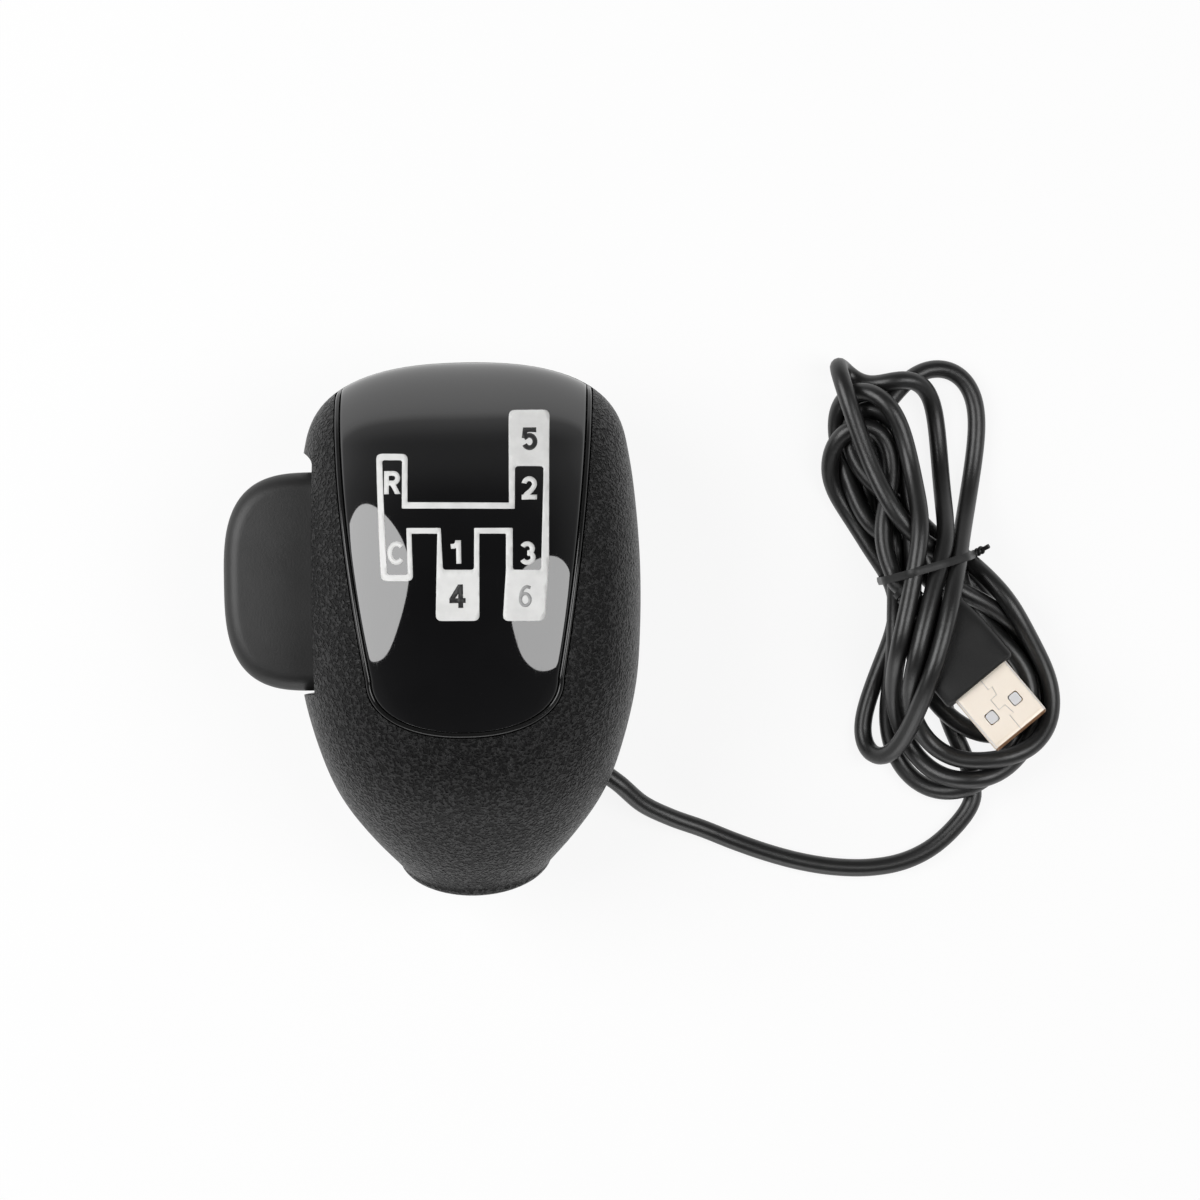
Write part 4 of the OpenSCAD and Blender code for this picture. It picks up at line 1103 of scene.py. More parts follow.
def rounded(corners):
    """Outline with each corner rounded by its own radius."""
    line = []
    count = len(corners)
    for k, (x, y, radius) in enumerate(corners):
        corner = np.array([x, y])
        before = np.array(corners[k - 1][:2]) - corner
        after = np.array(corners[(k + 1) % count][:2]) - corner
        if radius == 0:
            line.append(corner)
            continue
        start = corner + unit(before) * radius
        end = corner + unit(after) * radius
        for t in np.linspace(0, 1, 8):
            line.append((1 - t) ** 2 * start + 2 * t * (1 - t) * corner + t * t * end)
    return line


def filled(curve):
    """Triangles of a filled flat curve."""
    holder = bpy.data.objects.new("fill", curve)
    scene.collection.objects.link(holder)
    depsgraph = bpy.context.evaluated_depsgraph_get()
    mesh = bpy.data.meshes.new_from_object(holder.evaluated_get(depsgraph))
    bpy.data.objects.remove(holder)
    return mesh


def channel_fill():
    curve = bpy.data.curves.new("channel", "CURVE")
    curve.dimensions = "2D"
    curve.fill_mode = "BOTH"
    for corners in (CHANNEL_OUTER, CHANNEL_INNER):
        line = rounded(corners)
        spline = curve.splines.new("POLY")
        spline.points.add(len(line) - 1)
        for point, (x, y) in zip(spline.points, line):
            point.co = (x, y, 0, 1)
        spline.use_cyclic_u = True
    return filled(curve)


def glyph_fill(mark, x, y, width=STROKE):
    """Flat mesh of one mark: its strokes joined, and trimmed to the marks' height."""
    form, *strokes = [prism(widened(line, width / 2), -1, 1) for line in STROKES[mark]]
    cut(form, strokes, "UNION")
    cut(form, [box_cutter((-5, -GLYPH_HALF, -2), (5, GLYPH_HALF, 2))], "INTERSECT")
    editor = bmesh.new()
    editor.from_mesh(form.data)
    bpy.data.objects.remove(form)
    editor.normal_update()
    lower = [face for face in editor.faces if face.normal.z < FACING_UP]
    bmesh.ops.delete(editor, geom=lower, context="FACES")
    for vertex in editor.verts:
        vertex.co = (x + vertex.co.x / MM, y + vertex.co.y / MM, 0)
    mesh = bpy.data.meshes.new("glyph")
    editor.to_mesh(mesh)
    editor.free()
    return mesh


def laid_on_crown(name, meshes, rise):
    """Thin print from flat meshes, laid on the crown."""
    editor = bmesh.new()
    for mesh in meshes:
        editor.from_mesh(mesh)
    bmesh.ops.remove_doubles(editor, verts=editor.verts, dist=MERGE_REACH)
    for _ in range(SPLIT_ROUNDS):
        long_edges = [e for e in editor.edges if e.calc_length() > PRINT_STEP]
        bmesh.ops.subdivide_edges(editor, edges=long_edges, cuts=1)
        bmesh.ops.triangulate(editor, faces=editor.faces)
    flat = np.array([v.co for v in editor.verts])
    sides = flat[:, 0]
    places = place_for(sides, flat[:, 1])
    points = crown_points(places, sides) + rise * crown_normals(places, sides)
    for vertex, point in zip(editor.verts, points):
        vertex.co = Vector(point) * MM
    mesh = bpy.data.meshes.new(name)
    editor.to_mesh(mesh)
    editor.free()
    piece = bpy.data.objects.new(name, mesh)
    scene.collection.objects.link(piece)
    shade(piece, 60)
    thickness = piece.modifiers.new("thickness", "SOLIDIFY")
    thickness.thickness = PRINT_T * MM
    thickness.offset = -1
    return piece


channel_print = laid_on_crown("channel_print", [channel_fill()], PRINT_RISE)
light_marks = laid_on_crown("light_marks", [glyph_fill(*g) for g in LIGHT_GLYPHS], PRINT_RISE)
dark_marks = laid_on_crown("dark_marks", [glyph_fill(*g) for g in DARK_GLYPHS], MARK_RISE)
grey_marks = laid_on_crown("grey_marks", [glyph_fill(*g, THIN_STROKE) for g in GREY_GLYPHS], MARK_RISE)


# Paddle: a squarish half oval with a full round edge, on its barrel and arm
PADDLE_REACH = 17.4
PADDLE_T = 8.4
PADDLE_ROUND = 3.2
PADDLE_GAP = 0.4
PADDLE_POWER = 2 / 3
PADDLE_ROOT_X = PIN[0] - 3
PADDLE_CROWN = 0.35
PADDLE_CROWN_REACH = 9.5
BARREL_EDGE = 0.4
ARM_LENGTH = 13
ARM_HALVES = (5, 2)
PIN_HOLE_OUT = 5
PIN_HOLE_REACH = 60


def paddle_ring(inset, lift):
    ring = []
    for angle in np.linspace(0, math.pi, 97):
        reach = (PADDLE_REACH - PADDLE_GAP - inset) * abs(math.sin(angle)) ** PADDLE_POWER
        along = (PADDLE_HALF - inset) * float(signed_power(math.cos(angle), PADDLE_POWER))
        ring.append((POCKET_X - PADDLE_GAP - reach, PIN[1] + along, PIN[2] + lift))
    for side in np.linspace(-1, 1, 13):
        ring.append((PADDLE_ROOT_X, PIN[1] + side * (PADDLE_HALF - inset), PIN[2] + lift))
    return ring


def thumb_paddle_form():
    rings = []
    flat_half = PADDLE_T / 2 - PADDLE_ROUND - PADDLE_CROWN
    for angle in np.linspace(-90, 90, 25):
        turn = math.radians(angle)
        inset = PADDLE_ROUND * (1 - math.cos(turn))
        rings.append(paddle_ring(inset, flat_half * np.sign(angle) + PADDLE_ROUND * math.sin(turn)))
    inner = []
    for t in np.linspace(0.1, 1, 10):
        rise = PADDLE_T / 2 - PADDLE_CROWN * (1 - t) ** 2
        inner.append(paddle_ring(PADDLE_ROUND + PADDLE_CROWN_REACH * t, rise))
    under = [[(x, y, 2 * PIN[2] - z) for x, y, z in ring] for ring in inner[::-1]]
    middle = np.array([POCKET_X - PADDLE_REACH / 4, PIN[1], PIN[2]])
    face = np.array([0, 0, PADDLE_T / 2])
    wing = mesh_piece("thumb_paddle", *skin(under + rings + inner, middle - face, middle + face))
    along = np.array([0, 1.0, 0])
    start = PIN - PADDLE_HALF * along
    barrel_r = BARREL_D / 2
    length = 2 * PADDLE_HALF
    barrel_steps = [(0, barrel_r - BARREL_EDGE), (BARREL_EDGE, barrel_r)]
    barrel_steps += [(length - BARREL_EDGE, barrel_r), (length, barrel_r - BARREL_EDGE)]
    barrel = cutter(turned_profile(barrel_steps, start, along, 96))
    arm = box_cutter((PIN[0], *(PIN[1:] - ARM_HALVES)), (PIN[0] + ARM_LENGTH, *(PIN[1:] + ARM_HALVES)))
    cut(wing, [barrel, arm], "UNION")
    cut(wing, [rod(start - PIN_HOLE_OUT * along, along, PIN_HOLE_REACH, PIN_D)])
    return shade(wing, 35)


thumb_paddle = thumb_paddle_form()


# Plug: moulded grip with its ribbed relief, and a folded metal sleeve
def plug_place(along, across, up):
    return PLUG_AT + along * PLUG_WAY + across * PLUG_ACROSS + up * PLUG_UP


def plug_ring(along, half_width, half_height, power, count=72):
    ring = []
    for angle in full_turn(count):
        across = half_width * float(signed_power(math.cos(angle), 2 / power))
        up = half_height * float(signed_power(math.sin(angle), 2 / power))
        ring.append(plug_place(along, across, up))
    return ring


# Each station of the moulded grip: place along the plug, half width, half height and squareness
GRIP_STATIONS = [
    (-17, 5.2, 2.3, 2.6), (-16.6, 6.2, 2.8, 2.9), (-15.5, 7.1, 3.2, 3.2), (-13, 7.5, 3.5, 3.8),
    (-9, 7.75, 3.68, 4.4), (-6, 7.8, 3.7, 4.6), (-1, 7.8, 3.7, 4.6), (-0.45, 7.72, 3.62, 4.6),
    (-0.12, 7.5, 3.4, 4.6), (0, 7.2, 3.1, 4.6),
]
# Relief behind the moulded grip: (place along the plug, radius) at its start and end
RELIEF_START = [(-TAIL_BACK, 1.75), (-TAIL_BACK, 2.15)]
RELIEF_END = (-16.5, 2.9)
FIRST_RIB = (0.35 - TAIL_BACK, 2.2)
RIB_COUNT = 5
RIB_STEP = 1.15
RIB_GROWTH = 0.12
# One rib and the groove after it: steps along, and on the radius
RIB_PROFILE = [(0, 0), (0.62, 0.05), (0.72, -0.32), (1.05, -0.3)]


def plug_grip_form():
    body = skin([plug_ring(*station) for station in smooth_line(GRIP_STATIONS, 6)])
    ribs = list(RELIEF_START)
    for k in range(RIB_COUNT):
        start = FIRST_RIB[0] + RIB_STEP * k
        radius = FIRST_RIB[1] + RIB_GROWTH * k
        ribs += [(start + along, radius + out) for along, out in RIB_PROFILE]
    ribs.append(RELIEF_END)
    return joined([body, skin(turned_profile(ribs, PLUG_AT, PLUG_WAY, 40))])


plug_overmould = mesh_piece("plug_overmould", *plug_grip_form(), sharp_angle=45)

SLEEVE_WIDTH = 12
SLEEVE_HEIGHT = 4.5
SLEEVE_LENGTH = 12
SLEEVE_CORNER = 0.75
SHEET = 0.4
# The nose's rounding: steps back from the end, as shares, and how far each is drawn in
NOSE_STEPS = [(0.5, 0.05), (0.15, 0.14), (0, 0.26)]
NOSE_ROUND = 0.8
WINDOW = (2.4, 2.2)
WINDOW_PLACE = 5.4
WINDOW_SPREAD = 5.6
WINDOW_CORNER = 0.45
LINER_INSET = 0.16
LINER_DEPTHS = (0.75, 0.2)
# Interlocked seam down the middle of the sleeve's upper face
SLEEVE_SEAM = [
    (-1, 0), (2.2, 0), (2.2, 0.9), (3.9, 0.55), (3.9, -0.9), (6.3, -0.9), (6.3, 0.55), (8.4, 0.9),
    (8.4, 0), (13, 0),
]
SLEEVE_SEAM_HALF = 0.07
SLEEVE_SEAM_DEPTH = 0.25
NOSE_GROOVE = [(10.9, -5.4), (11.04, -5.4), (11.04, 5.4), (10.9, 5.4)]
NOSE_GROOVE_DEPTH = 0.12


def rounded_box_line(half_width, half_height, radius, steps=7):
    line = []
    for sx, sy, first in ((1, 1, 0), (-1, 1, 90), (-1, -1, 180), (1, -1, 270)):
        for angle in np.radians(np.linspace(first, first + 90, steps)):
            across = sx * (half_width - radius) + radius * math.cos(angle)
            up = sy * (half_height - radius) + radius * math.sin(angle)
            line.append((across, up))
    return line


def sleeve_skin(inset, start, end, rounding):
    radius = max(0.2, SLEEVE_CORNER - inset)
    stations = [(start, 0), (end - rounding, 0)]
    if rounding:
        stations += [(end - share * rounding, pinch) for share, pinch in NOSE_STEPS]
    rings = []
    for along, pinch in stations:
        less = inset + pinch
        line = rounded_box_line(SLEEVE_WIDTH / 2 - less, SLEEVE_HEIGHT / 2 - less, radius)
        rings.append([plug_place(along, across, up) for across, up in line])
    return skin(rings)


def plug_prism(outline, low, high):
    """Prism over an outline in (along, across) steps, between two heights on the plug."""
    return cutter([[plug_place(a, b, h) for a, b in outline] for h in (low, high)])


def window_prisms(inset, low, high):
    line = rounded_box_line(WINDOW[0] / 2 - inset, WINDOW[1] / 2 - inset, WINDOW_CORNER)
    middle = WINDOW_PLACE + WINDOW[0] / 2
    sides = (-WINDOW_SPREAD / 2, WINDOW_SPREAD / 2)
    return [plug_prism([(middle + a, side + b) for a, b in line], low, high) for side in sides]


def plug_sleeve_form():
    outer = mesh_piece("plug_sleeve", *sleeve_skin(0, 0, SLEEVE_LENGTH, NOSE_ROUND))
    inner = mesh_piece("cutter", *sleeve_skin(SHEET, -1, SLEEVE_LENGTH + 1, 0))
    face = SLEEVE_HEIGHT / 2
    windows = window_prisms(0, -SLEEVE_HEIGHT, SLEEVE_HEIGHT)
    seam = plug_prism(widened(SLEEVE_SEAM, SLEEVE_SEAM_HALF), face - SLEEVE_SEAM_DEPTH, SLEEVE_HEIGHT)
    groove = plug_prism(NOSE_GROOVE, face - NOSE_GROOVE_DEPTH, SLEEVE_HEIGHT)
    cut(outer, [inner] + windows + [seam, groove])
    cut(outer, window_prisms(LINER_INSET, face - LINER_DEPTHS[0], face - LINER_DEPTHS[1]), "UNION")
    return shade(outer, 30)


plug_sleeve = plug_sleeve_form()

# Collar where the cable leaves the grip, and the cable's run inside
COLLAR = [
    (-9, 1.72), (-9, 3.6), (-0.4, 3.6), (0.1, 3.52), (0.5, 3.3), (0.85, 2.9), (1.05, 2.4), (1.2, 1.95),
    (1.2, 1.72),
]
collar_skin = skin(turned_profile(COLLAR, GLAND_AT, GLAND_WAY, 48))
cable_collar = mesh_piece("cable_collar", *collar_skin, sharp_angle=45)
socket_low, socket_high = (np.array(corner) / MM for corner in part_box("board_socket"))
socket_mouth = np.array([
    (socket_low[0] + socket_high[0]) / 2, socket_low[1], (socket_low[2] + socket_high[2]) / 2,
])
inner_route = [GLAND_AT - length * GLAND_WAY for length in (0, 6, 12, 17)]
inner_route += [socket_mouth + np.array(step) for step in ((0.6, -9, 0), (0, -4, 0), (0, 0, 0))]
inner_path = smooth_line(inner_route, 10)
inner_rings = sweep(inner_path, [UP] * len(inner_path), oval(CORD_R, CORD_R, 24))
inner_lead = mesh_piece("inner_lead", *skin(inner_rings))


# Materials
def grey(tone):
    return (tone, tone, tone)


def put(tree, socket, value):
    """Sets a socket's value, or links it where the value is another node's output."""
    if isinstance(value, bpy.types.NodeSocket):
        tree.links.new(value, socket)
    else:
        socket.default_value = value


def add(tree, kind, values, **settings):
    """A new node's outputs, once its settings and inputs are set."""
    made = tree.nodes.new(kind)
    for key, value in settings.items():
        setattr(made, key, value)
    for key, value in values.items():
        put(tree, made.inputs[key], value)
    return made.outputs


def new_material(name):
    """A material, its node tree, and the place on the object that its patterns go by."""
    material = bpy.data.materials.new(name)
    material.use_nodes = True
    tree = material.node_tree
    return material, tree, add(tree, "ShaderNodeTexCoord", {})["Object"]


def paint(tree, values):
    """Puts values on the sockets of a material's shader."""
    shader = tree.nodes["Principled BSDF"]
    for key, value in values.items():
        put(tree, shader.inputs[key], value)


def noise(tree, where, scale, detail=3, output="Fac"):
    values = {"Vector": where, "Scale": scale, "Detail": detail, "Roughness": 0.55}
    return add(tree, "ShaderNodeTexNoise", values)[output]


def stretched(tree, where, scale, turn=0):
    """Places stretched by a scale, so that a pattern on them runs in lines."""
    values = {"Vector": where, "Scale": scale, "Rotation": (0, 0, turn)}
    return add(tree, "ShaderNodeMapping", values)["Vector"]


def ramp(tree, source, stops):
    made = tree.nodes.new("ShaderNodeValToRGB")
    ends = made.color_ramp.elements
    while len(ends) < len(stops):
        ends.new(0.5)
    for element, (place, colour) in zip(ends, stops):
        element.position = place
        element.color = (*colour, 1)
    put(tree, made.inputs["Fac"], source)
    return made.outputs["Color"]


def clouded(tree, where, scale, detail, dark, light, edge=0.3):
    """Faint clouds of one colour in another."""
    return ramp(tree, noise(tree, where, scale, detail), [(edge, dark), (1 - edge, light)])


def span(tree, source, first, last, low=0, high=1, **settings):
    """The source's low to high as first to last."""
    values = {"Value": source, "From Min": low, "From Max": high, "To Min": first, "To Max": last}
    return add(tree, "ShaderNodeMapRange", values, **settings)["Result"]


def maths(tree, operation, first, second=0):
    return add(tree, "ShaderNodeMath", {0: first, 1: second}, operation=operation)["Value"]


def bump(tree, height, depth, strength=1.0):
    values = {"Height": height, "Strength": strength, "Distance": depth * MM}
    return add(tree, "ShaderNodeBump", values)["Normal"]


def along_way(tree, where, way):
    """How far a point lies along a way."""
    values = {0: where, 1: tuple(way)}
    return add(tree, "ShaderNodeVectorMath", values, operation="DOT_PRODUCT")["Value"]


def tinted(tree, share, first, second):
    """The first colour, and the second where the share is one."""
    values = {"Factor": share, "A": first, "B": (*second, 1)}
    return add(tree, "ShaderNodeMix", values, data_type="RGBA")["Result"]


def moulded(name, dark, light, rough, grain_size, grain_depth, ior=1.5):
    """Moulded plastic or rubber: faint clouding of its colour, and a fine surface."""
    material, tree, where = new_material(name)
    fine = noise(tree, where, 1 / (grain_size * MM))
    paint(tree, {
        "Base Color": clouded(tree, where, 140, 4, dark, light),
        "Roughness": span(tree, fine, *rough),
        "IOR": ior,
        "Normal": bump(tree, fine, grain_depth),
    })
    return material


# Leather grain: scales of its noises, how far the pebbles wander, and the wrinkles' width and rise
WANDER_SCALE = 380
WANDER = 0.0016
PEBBLE_SCALE = 1300
WRINKLE_SCALE = 900
WRINKLE_HALF = 0.13
WRINKLE_RISE = 0.6
FINE_SCALE = 2800
FINE_SHARE = 0.3
PLATEAU_LEVELS = (0.5, 1.1)
GRAIN_DEPTH = 0.6


def leather_grain(name):
    """Grip plastic with a moulded leather grain: winding wrinkles over pebbles, with painted shade in the
    creases, where the colour is darker and the reflection weaker.
    """
    material, tree, where = new_material(name)
    wander = {0: noise(tree, where, WANDER_SCALE, 2, "Color"), 1: (WANDER, WANDER, WANDER), 2: where}
    shifted = add(tree, "ShaderNodeVectorMath", wander, operation="MULTIPLY_ADD")["Vector"]
    cells = {"Vector": shifted, "Scale": PEBBLE_SCALE, "Smoothness": 0.2}
    pebble = span(tree, add(tree, "ShaderNodeTexVoronoi", cells, feature="SMOOTH_F1")["Distance"], 1, 0)
    bends = maths(tree, "SUBTRACT", noise(tree, where, WRINKLE_SCALE, 1), 0.5)
    wrinkle = span(tree, maths(tree, "ABSOLUTE", bends), WRINKLE_RISE, 0, 0, WRINKLE_HALF)
    relief = maths(tree, "ADD", pebble, wrinkle)
    plateau = span(tree, relief, 0, 1, *PLATEAU_LEVELS, interpolation_type="SMOOTHSTEP")
    fine = noise(tree, where, FINE_SCALE)
    height = maths(tree, "ADD", plateau, maths(tree, "MULTIPLY", fine, FINE_SHARE))
    paint(tree, {
        # Painted shade: the grain's creases get a darker colour and a weaker reflection (Specular IOR Level),
        # standing in for the shade that falls in them
        "Base Color": ramp(tree, plateau, [(0, (0.003, 0.003, 0.0031)), (1, (0.006, 0.006, 0.0062))]),
        "Roughness": span(tree, fine, 0.3, 0.42),
        "Specular IOR Level": span(tree, plateau, 0.16, 0.36),
        "Normal": bump(tree, height, GRAIN_DEPTH),
    })
    return material


def gloss(name, dark, light, rough, ior):
    """Polished lacquer with faint hairline scratches and a slight ripple."""
    material, tree, where = new_material(name)
    hairs = noise(tree, stretched(tree, where, (4000, 160, 600), 0.5), 1, 2)
    paint(tree, {
        "Base Color": clouded(tree, where, 45, 3, dark, light),
        "Roughness": span(tree, hairs, *rough, 0.62, 0.8),
        "IOR": ior,
        "Normal": bump(tree, noise(tree, where, 110, 1), 0.03, 0.5),
    })
    return material


def metal(name, dark, light, rough, stretch_by, grain_depth):
    """Metal with drawn or turned lines and a faint tarnish."""
    material, tree, where = new_material(name)
    lines = noise(tree, stretched(tree, where, stretch_by), 1, 4)
    paint(tree, {
        "Base Color": clouded(tree, where, 260, 4, dark, light, 0.35),
        "Roughness": span(tree, lines, *rough),
        "Metallic": 1,
        "Normal": bump(tree, lines, grain_depth),
    })
    return material


# Plated sleeve: where its nose edge and its grey band begin and end, below the nose and the face; the band
# greys the windows' liner and also paints a thin shade line along the sleeve's rounded upper edges
NOSE_EDGE = np.array([0.45, 0.3])
GREY_BAND_UPPER = np.array([0.16, 0.12])
GREY_BAND_LOWER = np.array([0.32, 0.28])


def plated(name, dark, light, rim, liner_and_edge_grey):
    """Bright plated sheet, clouded, with a greyer liner in its windows and a bare bronze nose edge; the same
    grey band of heights also paints a thin shade line along the sleeve's rounded upper edges.
    """
    material, tree, where = new_material(name)
    fine = noise(tree, where, 1800)
    nose = PLUG_AT @ PLUG_WAY + SLEEVE_LENGTH
    face = PLUG_AT @ PLUG_UP + SLEEVE_HEIGHT / 2
    at_nose = span(tree, along_way(tree, where, PLUG_WAY), 0, 1, *(MM * (nose - NOSE_EDGE)))
    height = along_way(tree, where, PLUG_UP)
    # Grey band of heights: the windows' liner gets its own greyer colour here, and the sleeve's rounded upper
    # edges get a thin painted shade line
    sunk = span(tree, height, 1, 0, *(MM * (face - GREY_BAND_UPPER)))
    under = span(tree, height, 0, 1, *(MM * (face - GREY_BAND_LOWER)))
    plain = clouded(tree, where, 150, 3, dark, light)
    liner_and_edge_shade = tinted(tree, maths(tree, "MULTIPLY", sunk, under), plain, liner_and_edge_grey)
    paint(tree, {
        "Base Color": tinted(tree, at_nose, liner_and_edge_shade, rim),
        "Roughness": span(tree, fine, 0.4, 0.5),
        "Metallic": 0.25,
        "Normal": bump(tree, fine, 0.004),
    })
    return material


def printed(name, dark, light, rough):
    """Screen-printed ink: slightly uneven in tone, with a dry surface."""
    material, tree, where = new_material(name)
    fine = noise(tree, where, 5200, 2)
    paint(tree, {
        "Base Color": clouded(tree, where, 320, 4, dark, light),
        "Roughness": span(tree, fine, *rough),
        "Normal": bump(tree, fine, 0.01),
    })
    return material


def circuit_board(name):
    """Green board with lighter copper runs under its lacquer."""
    material, tree, where = new_material(name)
    runs = add(tree, "ShaderNodeTexBrick", {
        "Vector": where, "Scale": 240, "Mortar Size": 0.03, "Mortar": (0.03, 0.16, 0.06, 1),
        "Color1": (0.006, 0.07, 0.03, 1), "Color2": (0.005, 0.055, 0.025, 1),
    })
    paint(tree, {
        "Base Color": runs["Color"],
        "Roughness": span(tree, noise(tree, where, 1800, 2), 0.3, 0.42),
        "Normal": bump(tree, runs["Fac"], 0.03),
    })
    return material


# Each finish by its kind: two colours and the range of its roughness, then what that kind adds
FINISHES = {
    moulded: {
        "paddle_plastic": (grey(0.013), grey(0.019), (0.4, 0.5), 0.35, 0.03),
        "cable_jacket": (grey(0.005), grey(0.009), (0.32, 0.44), 0.5, 0.02, 1.62),
        "tie_plastic": (grey(0.01), grey(0.018), (0.42, 0.55), 0.4, 0.02),
        "plug_moulding": ((0.004, 0.004, 0.0042), grey(0.008), (0.46, 0.6), 0.3, 0.03, 1.42),
        "bracket_plastic": ((0.06, 0.065, 0.07), (0.085, 0.09, 0.095), (0.42, 0.55), 0.4, 0.03),
        "switch_plastic": ((0.012, 0.012, 0.014), (0.02, 0.02, 0.022), (0.35, 0.48), 0.3, 0.02),
        "plunger_plastic": ((0.3, 0.05, 0.03), (0.38, 0.07, 0.04), (0.35, 0.48), 0.3, 0.02),
        "chip_black": ((0.01, 0.01, 0.011), (0.02, 0.02, 0.021), (0.5, 0.62), 0.2, 0.02),
        "socket_plastic": ((0.6, 0.57, 0.49), (0.7, 0.67, 0.59), (0.4, 0.52), 0.3, 0.02),
        "tongue_plastic": ((0.55, 0.56, 0.58), (0.64, 0.65, 0.67), (0.35, 0.48), 0.3, 0.015),
    },
    gloss: {
        "panel_gloss": ((0.003, 0.003, 0.0034), (0.005, 0.005, 0.0055), (0.03, 0.1), 1.8),
        "trim_gloss": (grey(0.006), grey(0.01), (0.12, 0.24), 1.5),
    },
    printed: {
        "ink_white": ((0.66, 0.66, 0.65), (0.76, 0.76, 0.75), (0.4, 0.55)),
        "ink_black": (grey(0.006), grey(0.014), (0.4, 0.55)),
        "ink_grey": (grey(0.3), grey(0.36), (0.4, 0.55)),
    },
    metal: {
        "sleeve_metal": ((0.5, 0.5, 0.51), (0.62, 0.62, 0.63), (0.24, 0.4), (300, 2600, 2600), 0.008),
        "dark_steel": ((0.05, 0.05, 0.052), (0.09, 0.09, 0.092), (0.3, 0.45), (900, 900, 900), 0.008),
        "bright_steel": ((0.55, 0.55, 0.56), (0.68, 0.68, 0.69), (0.2, 0.35), (1200, 200, 1200), 0.006),
        "contact_gold": ((0.72, 0.5, 0.18), (0.83, 0.6, 0.25), (0.18, 0.3), (300, 2000, 2000), 0.004),
    },
}
BRONZE = (0.2, 0.1, 0.045)
LINER_AND_EDGE_SHADE_GREY = (0.7, 0.7, 0.71)
materials = {
    "grip_plastic": leather_grain("grip_plastic"),
    "plug_metal": plated("plug_metal", (0.93, 0.83, 0.71), (0.97, 0.88, 0.77), BRONZE, LINER_AND_EDGE_SHADE_GREY),
    "board_green": circuit_board("board_green"),
}
for make, finishes in FINISHES.items():
    for name, values in finishes.items():
        materials[name] = make(name, *values)

# Each made piece: its body, slot, material and the model's parts that it stands for
PIECES = [
    (grip_top, "knob", "grip_plastic", "grip_plastic", ["top_shell"]),
    (grip_back, "knob", "grip_plastic", "grip_plastic", ["rear_shell"]),
    (shift_panel, "knob", "panel_gloss", "panel_gloss", ["face_panel"]),
    (panel_bead, "knob", "trim_gloss", "trim_gloss", ["panel_trim"]),
    (channel_print, "knob", None, "ink_white", []),
    (light_marks, "knob", None, "ink_white", []),
    (dark_marks, "knob", None, "ink_black", []),
    (grey_marks, "knob", None, "ink_grey", []),
    (thumb_paddle, "paddle", "paddle_plastic", "paddle_plastic", ["range_paddle"]),
    (tied_cable, "knob", "cable_jacket", "cable_jacket", ["cable_lead", "cable_hank"]),
    (inner_lead, "knob", "cable_jacket", "cable_jacket", ["inner_cable"]),
    (cable_collar, "knob", "cable_jacket", "tie_plastic", ["cable_gland"]),
    (twist_tie, "knob", "tie_plastic", "tie_plastic", ["hank_tie"]),
    (plug_overmould, "knob", "plug_moulding", "plug_moulding", ["plug_grip"]),
    (plug_sleeve, "knob", "plug_metal", "plug_metal", ["plug_shell"]),
]
for piece, body, slot, material_name, stands_for in PIECES:
    piece.data.materials.clear()
    piece.data.materials.append(materials[material_name])
    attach(piece, body)
    if stands_for:
        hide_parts(*stands_for)

# The model's parts that keep their shape, by material
NODE_MATERIALS = {
    "sleeve_metal": ["lever_sleeve"],
    "dark_steel": ["set_screws", "shell_screws"],
    "bright_steel": ["paddle_pin", "bracket_screws", "toggle_spring", "board_screws"],
    "bracket_plastic": ["switch_bracket"],
    "switch_plastic": ["upper_switch", "lower_switch"],
    "plunger_plastic": ["upper_plunger", "lower_plunger"],
    "board_green": ["control_board"],
    "chip_black": ["board_chip"],
    "socket_plastic": ["board_socket"],
    "tongue_plastic": ["plug_tongue"],
    "contact_gold": ["plug_contacts"],
}
for material_name, node_names in NODE_MATERIALS.items():
    for node_name in node_names:
        for material_slot in nodes[node_name].material_slots:
            material_slot.material = materials[material_name]

# Floor: pale, seen as white, with the object's shadow kept
FLOOR_HALF = 3
FLOOR_Z = -0.00005
WHITE_SHARE = 0.88
floor_mesh = bpy.data.meshes.new("floor")
floor_corners = [(sx * FLOOR_HALF, sy * FLOOR_HALF, FLOOR_Z) for sx, sy in CORNERS]
floor_mesh.from_pydata(floor_corners, [], [(0, 1, 2, 3)])
floor = bpy.data.objects.new("floor", floor_mesh)
scene.collection.objects.link(floor)
floor_material, floor_tree, floor_where = new_material("floor_paper")
paint(floor_tree, {
    "Base Color": clouded(floor_tree, floor_where, 30, 2, grey(0.89), grey(0.91)),
    "Roughness": 0.9,
    "Specular IOR Level": 0,
})
rays = add(floor_tree, "ShaderNodeLightPath", {})
camera_or_gloss = maths(floor_tree, "MAXIMUM", rays["Is Camera Ray"], rays["Is Glossy Ray"])
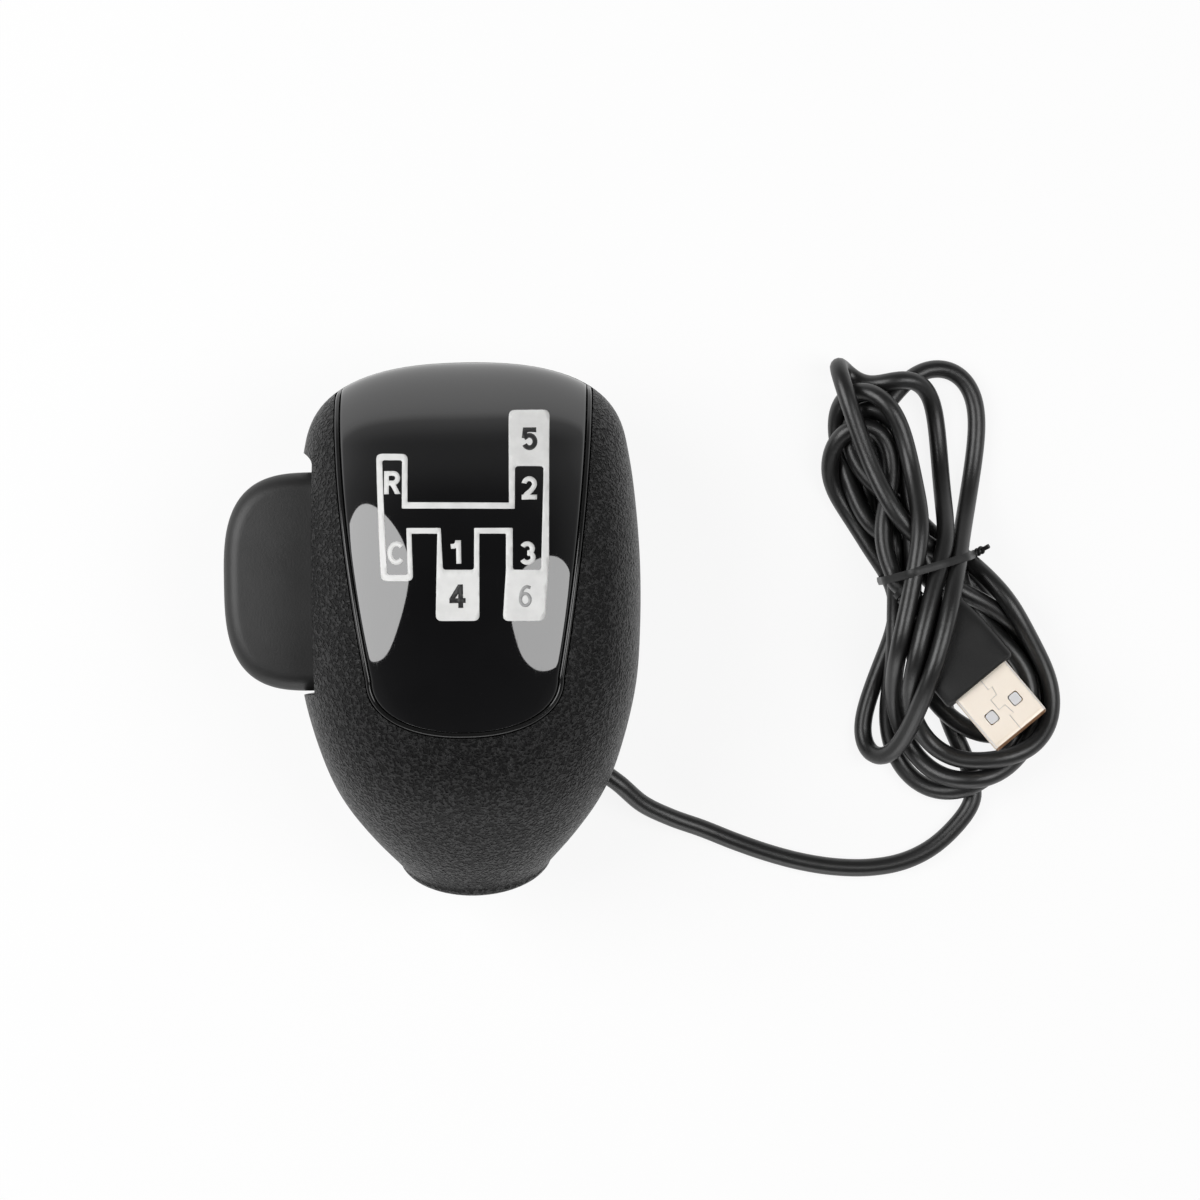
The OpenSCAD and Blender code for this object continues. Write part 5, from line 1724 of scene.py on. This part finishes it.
seen_ray = maths(floor_tree, "MAXIMUM", camera_or_gloss, rays["Is Transmission Ray"])
floor_mix = add(floor_tree, "ShaderNodeMixShader", {
    "Fac": maths(floor_tree, "MULTIPLY", seen_ray, WHITE_SHARE),
    1: floor_tree.nodes["Principled BSDF"].outputs["BSDF"],
    2: add(floor_tree, "ShaderNodeEmission", {"Color": (1, 1, 1, 1), "Strength": 1})["Emission"],
})
put(floor_tree, floor_tree.nodes["Material Output"].inputs["Surface"], floor_mix["Shader"])
floor_mesh.materials.append(floor_material)

# World: a tent that is pale at the horizon and dark overhead
SKY_TONES = [(0, 0.85), (0.1, 0.46), (0.35, 0.24), (0.75, 0.06), (1, 0.03)]
world = bpy.data.worlds.new("tent")
scene.world = world
world.use_nodes = True
world_tree = world.node_tree
sky_way = add(world_tree, "ShaderNodeTexCoord", {})["Generated"]
sky_height = add(world_tree, "ShaderNodeSeparateXYZ", {"Vector": sky_way})["Z"]
sky_colour = ramp(world_tree, sky_height, [(height, grey(tone)) for height, tone in SKY_TONES])
sky = world_tree.nodes["Background"]
put(world_tree, sky.inputs["Color"], sky_colour)
put(world_tree, sky.inputs["Strength"], 1)


# Lamps: a soft box on each side, and one in front
def soft_box(name, place, side, away, size, power):
    """A soft lamp with its width along one way and its back turned along another."""
    data = bpy.data.lights.new(name, "AREA")
    data.shape = "ELLIPSE"
    data.size = size[0]
    data.size_y = size[1]
    data.energy = power
    back = Vector(away).normalized()
    across = Vector(side).normalized()
    turn = Matrix((across, back.cross(across), back)).transposed()
    lamp = bpy.data.objects.new(name, data)
    lamp.matrix_world = Matrix.Translation(place) @ turn.to_4x4()
    scene.collection.objects.link(lamp)


soft_box("left_box", (-0.515, 0.129, 0.547), (0.81, 0.03, 0.59), (-0.58, 0.26, 0.78), (0.68, 0.6), 4.9)
soft_box("right_box", (0.407, 0, 0.633), (0, 1, 0), (0.574, 0, 0.819), (0.39, 0.57), 2.4)
soft_box("near_box", (-0.1, -0.9, 0.22), (1, 0, 0), (0, -0.97, 0.22), (1, 0.36), 2)
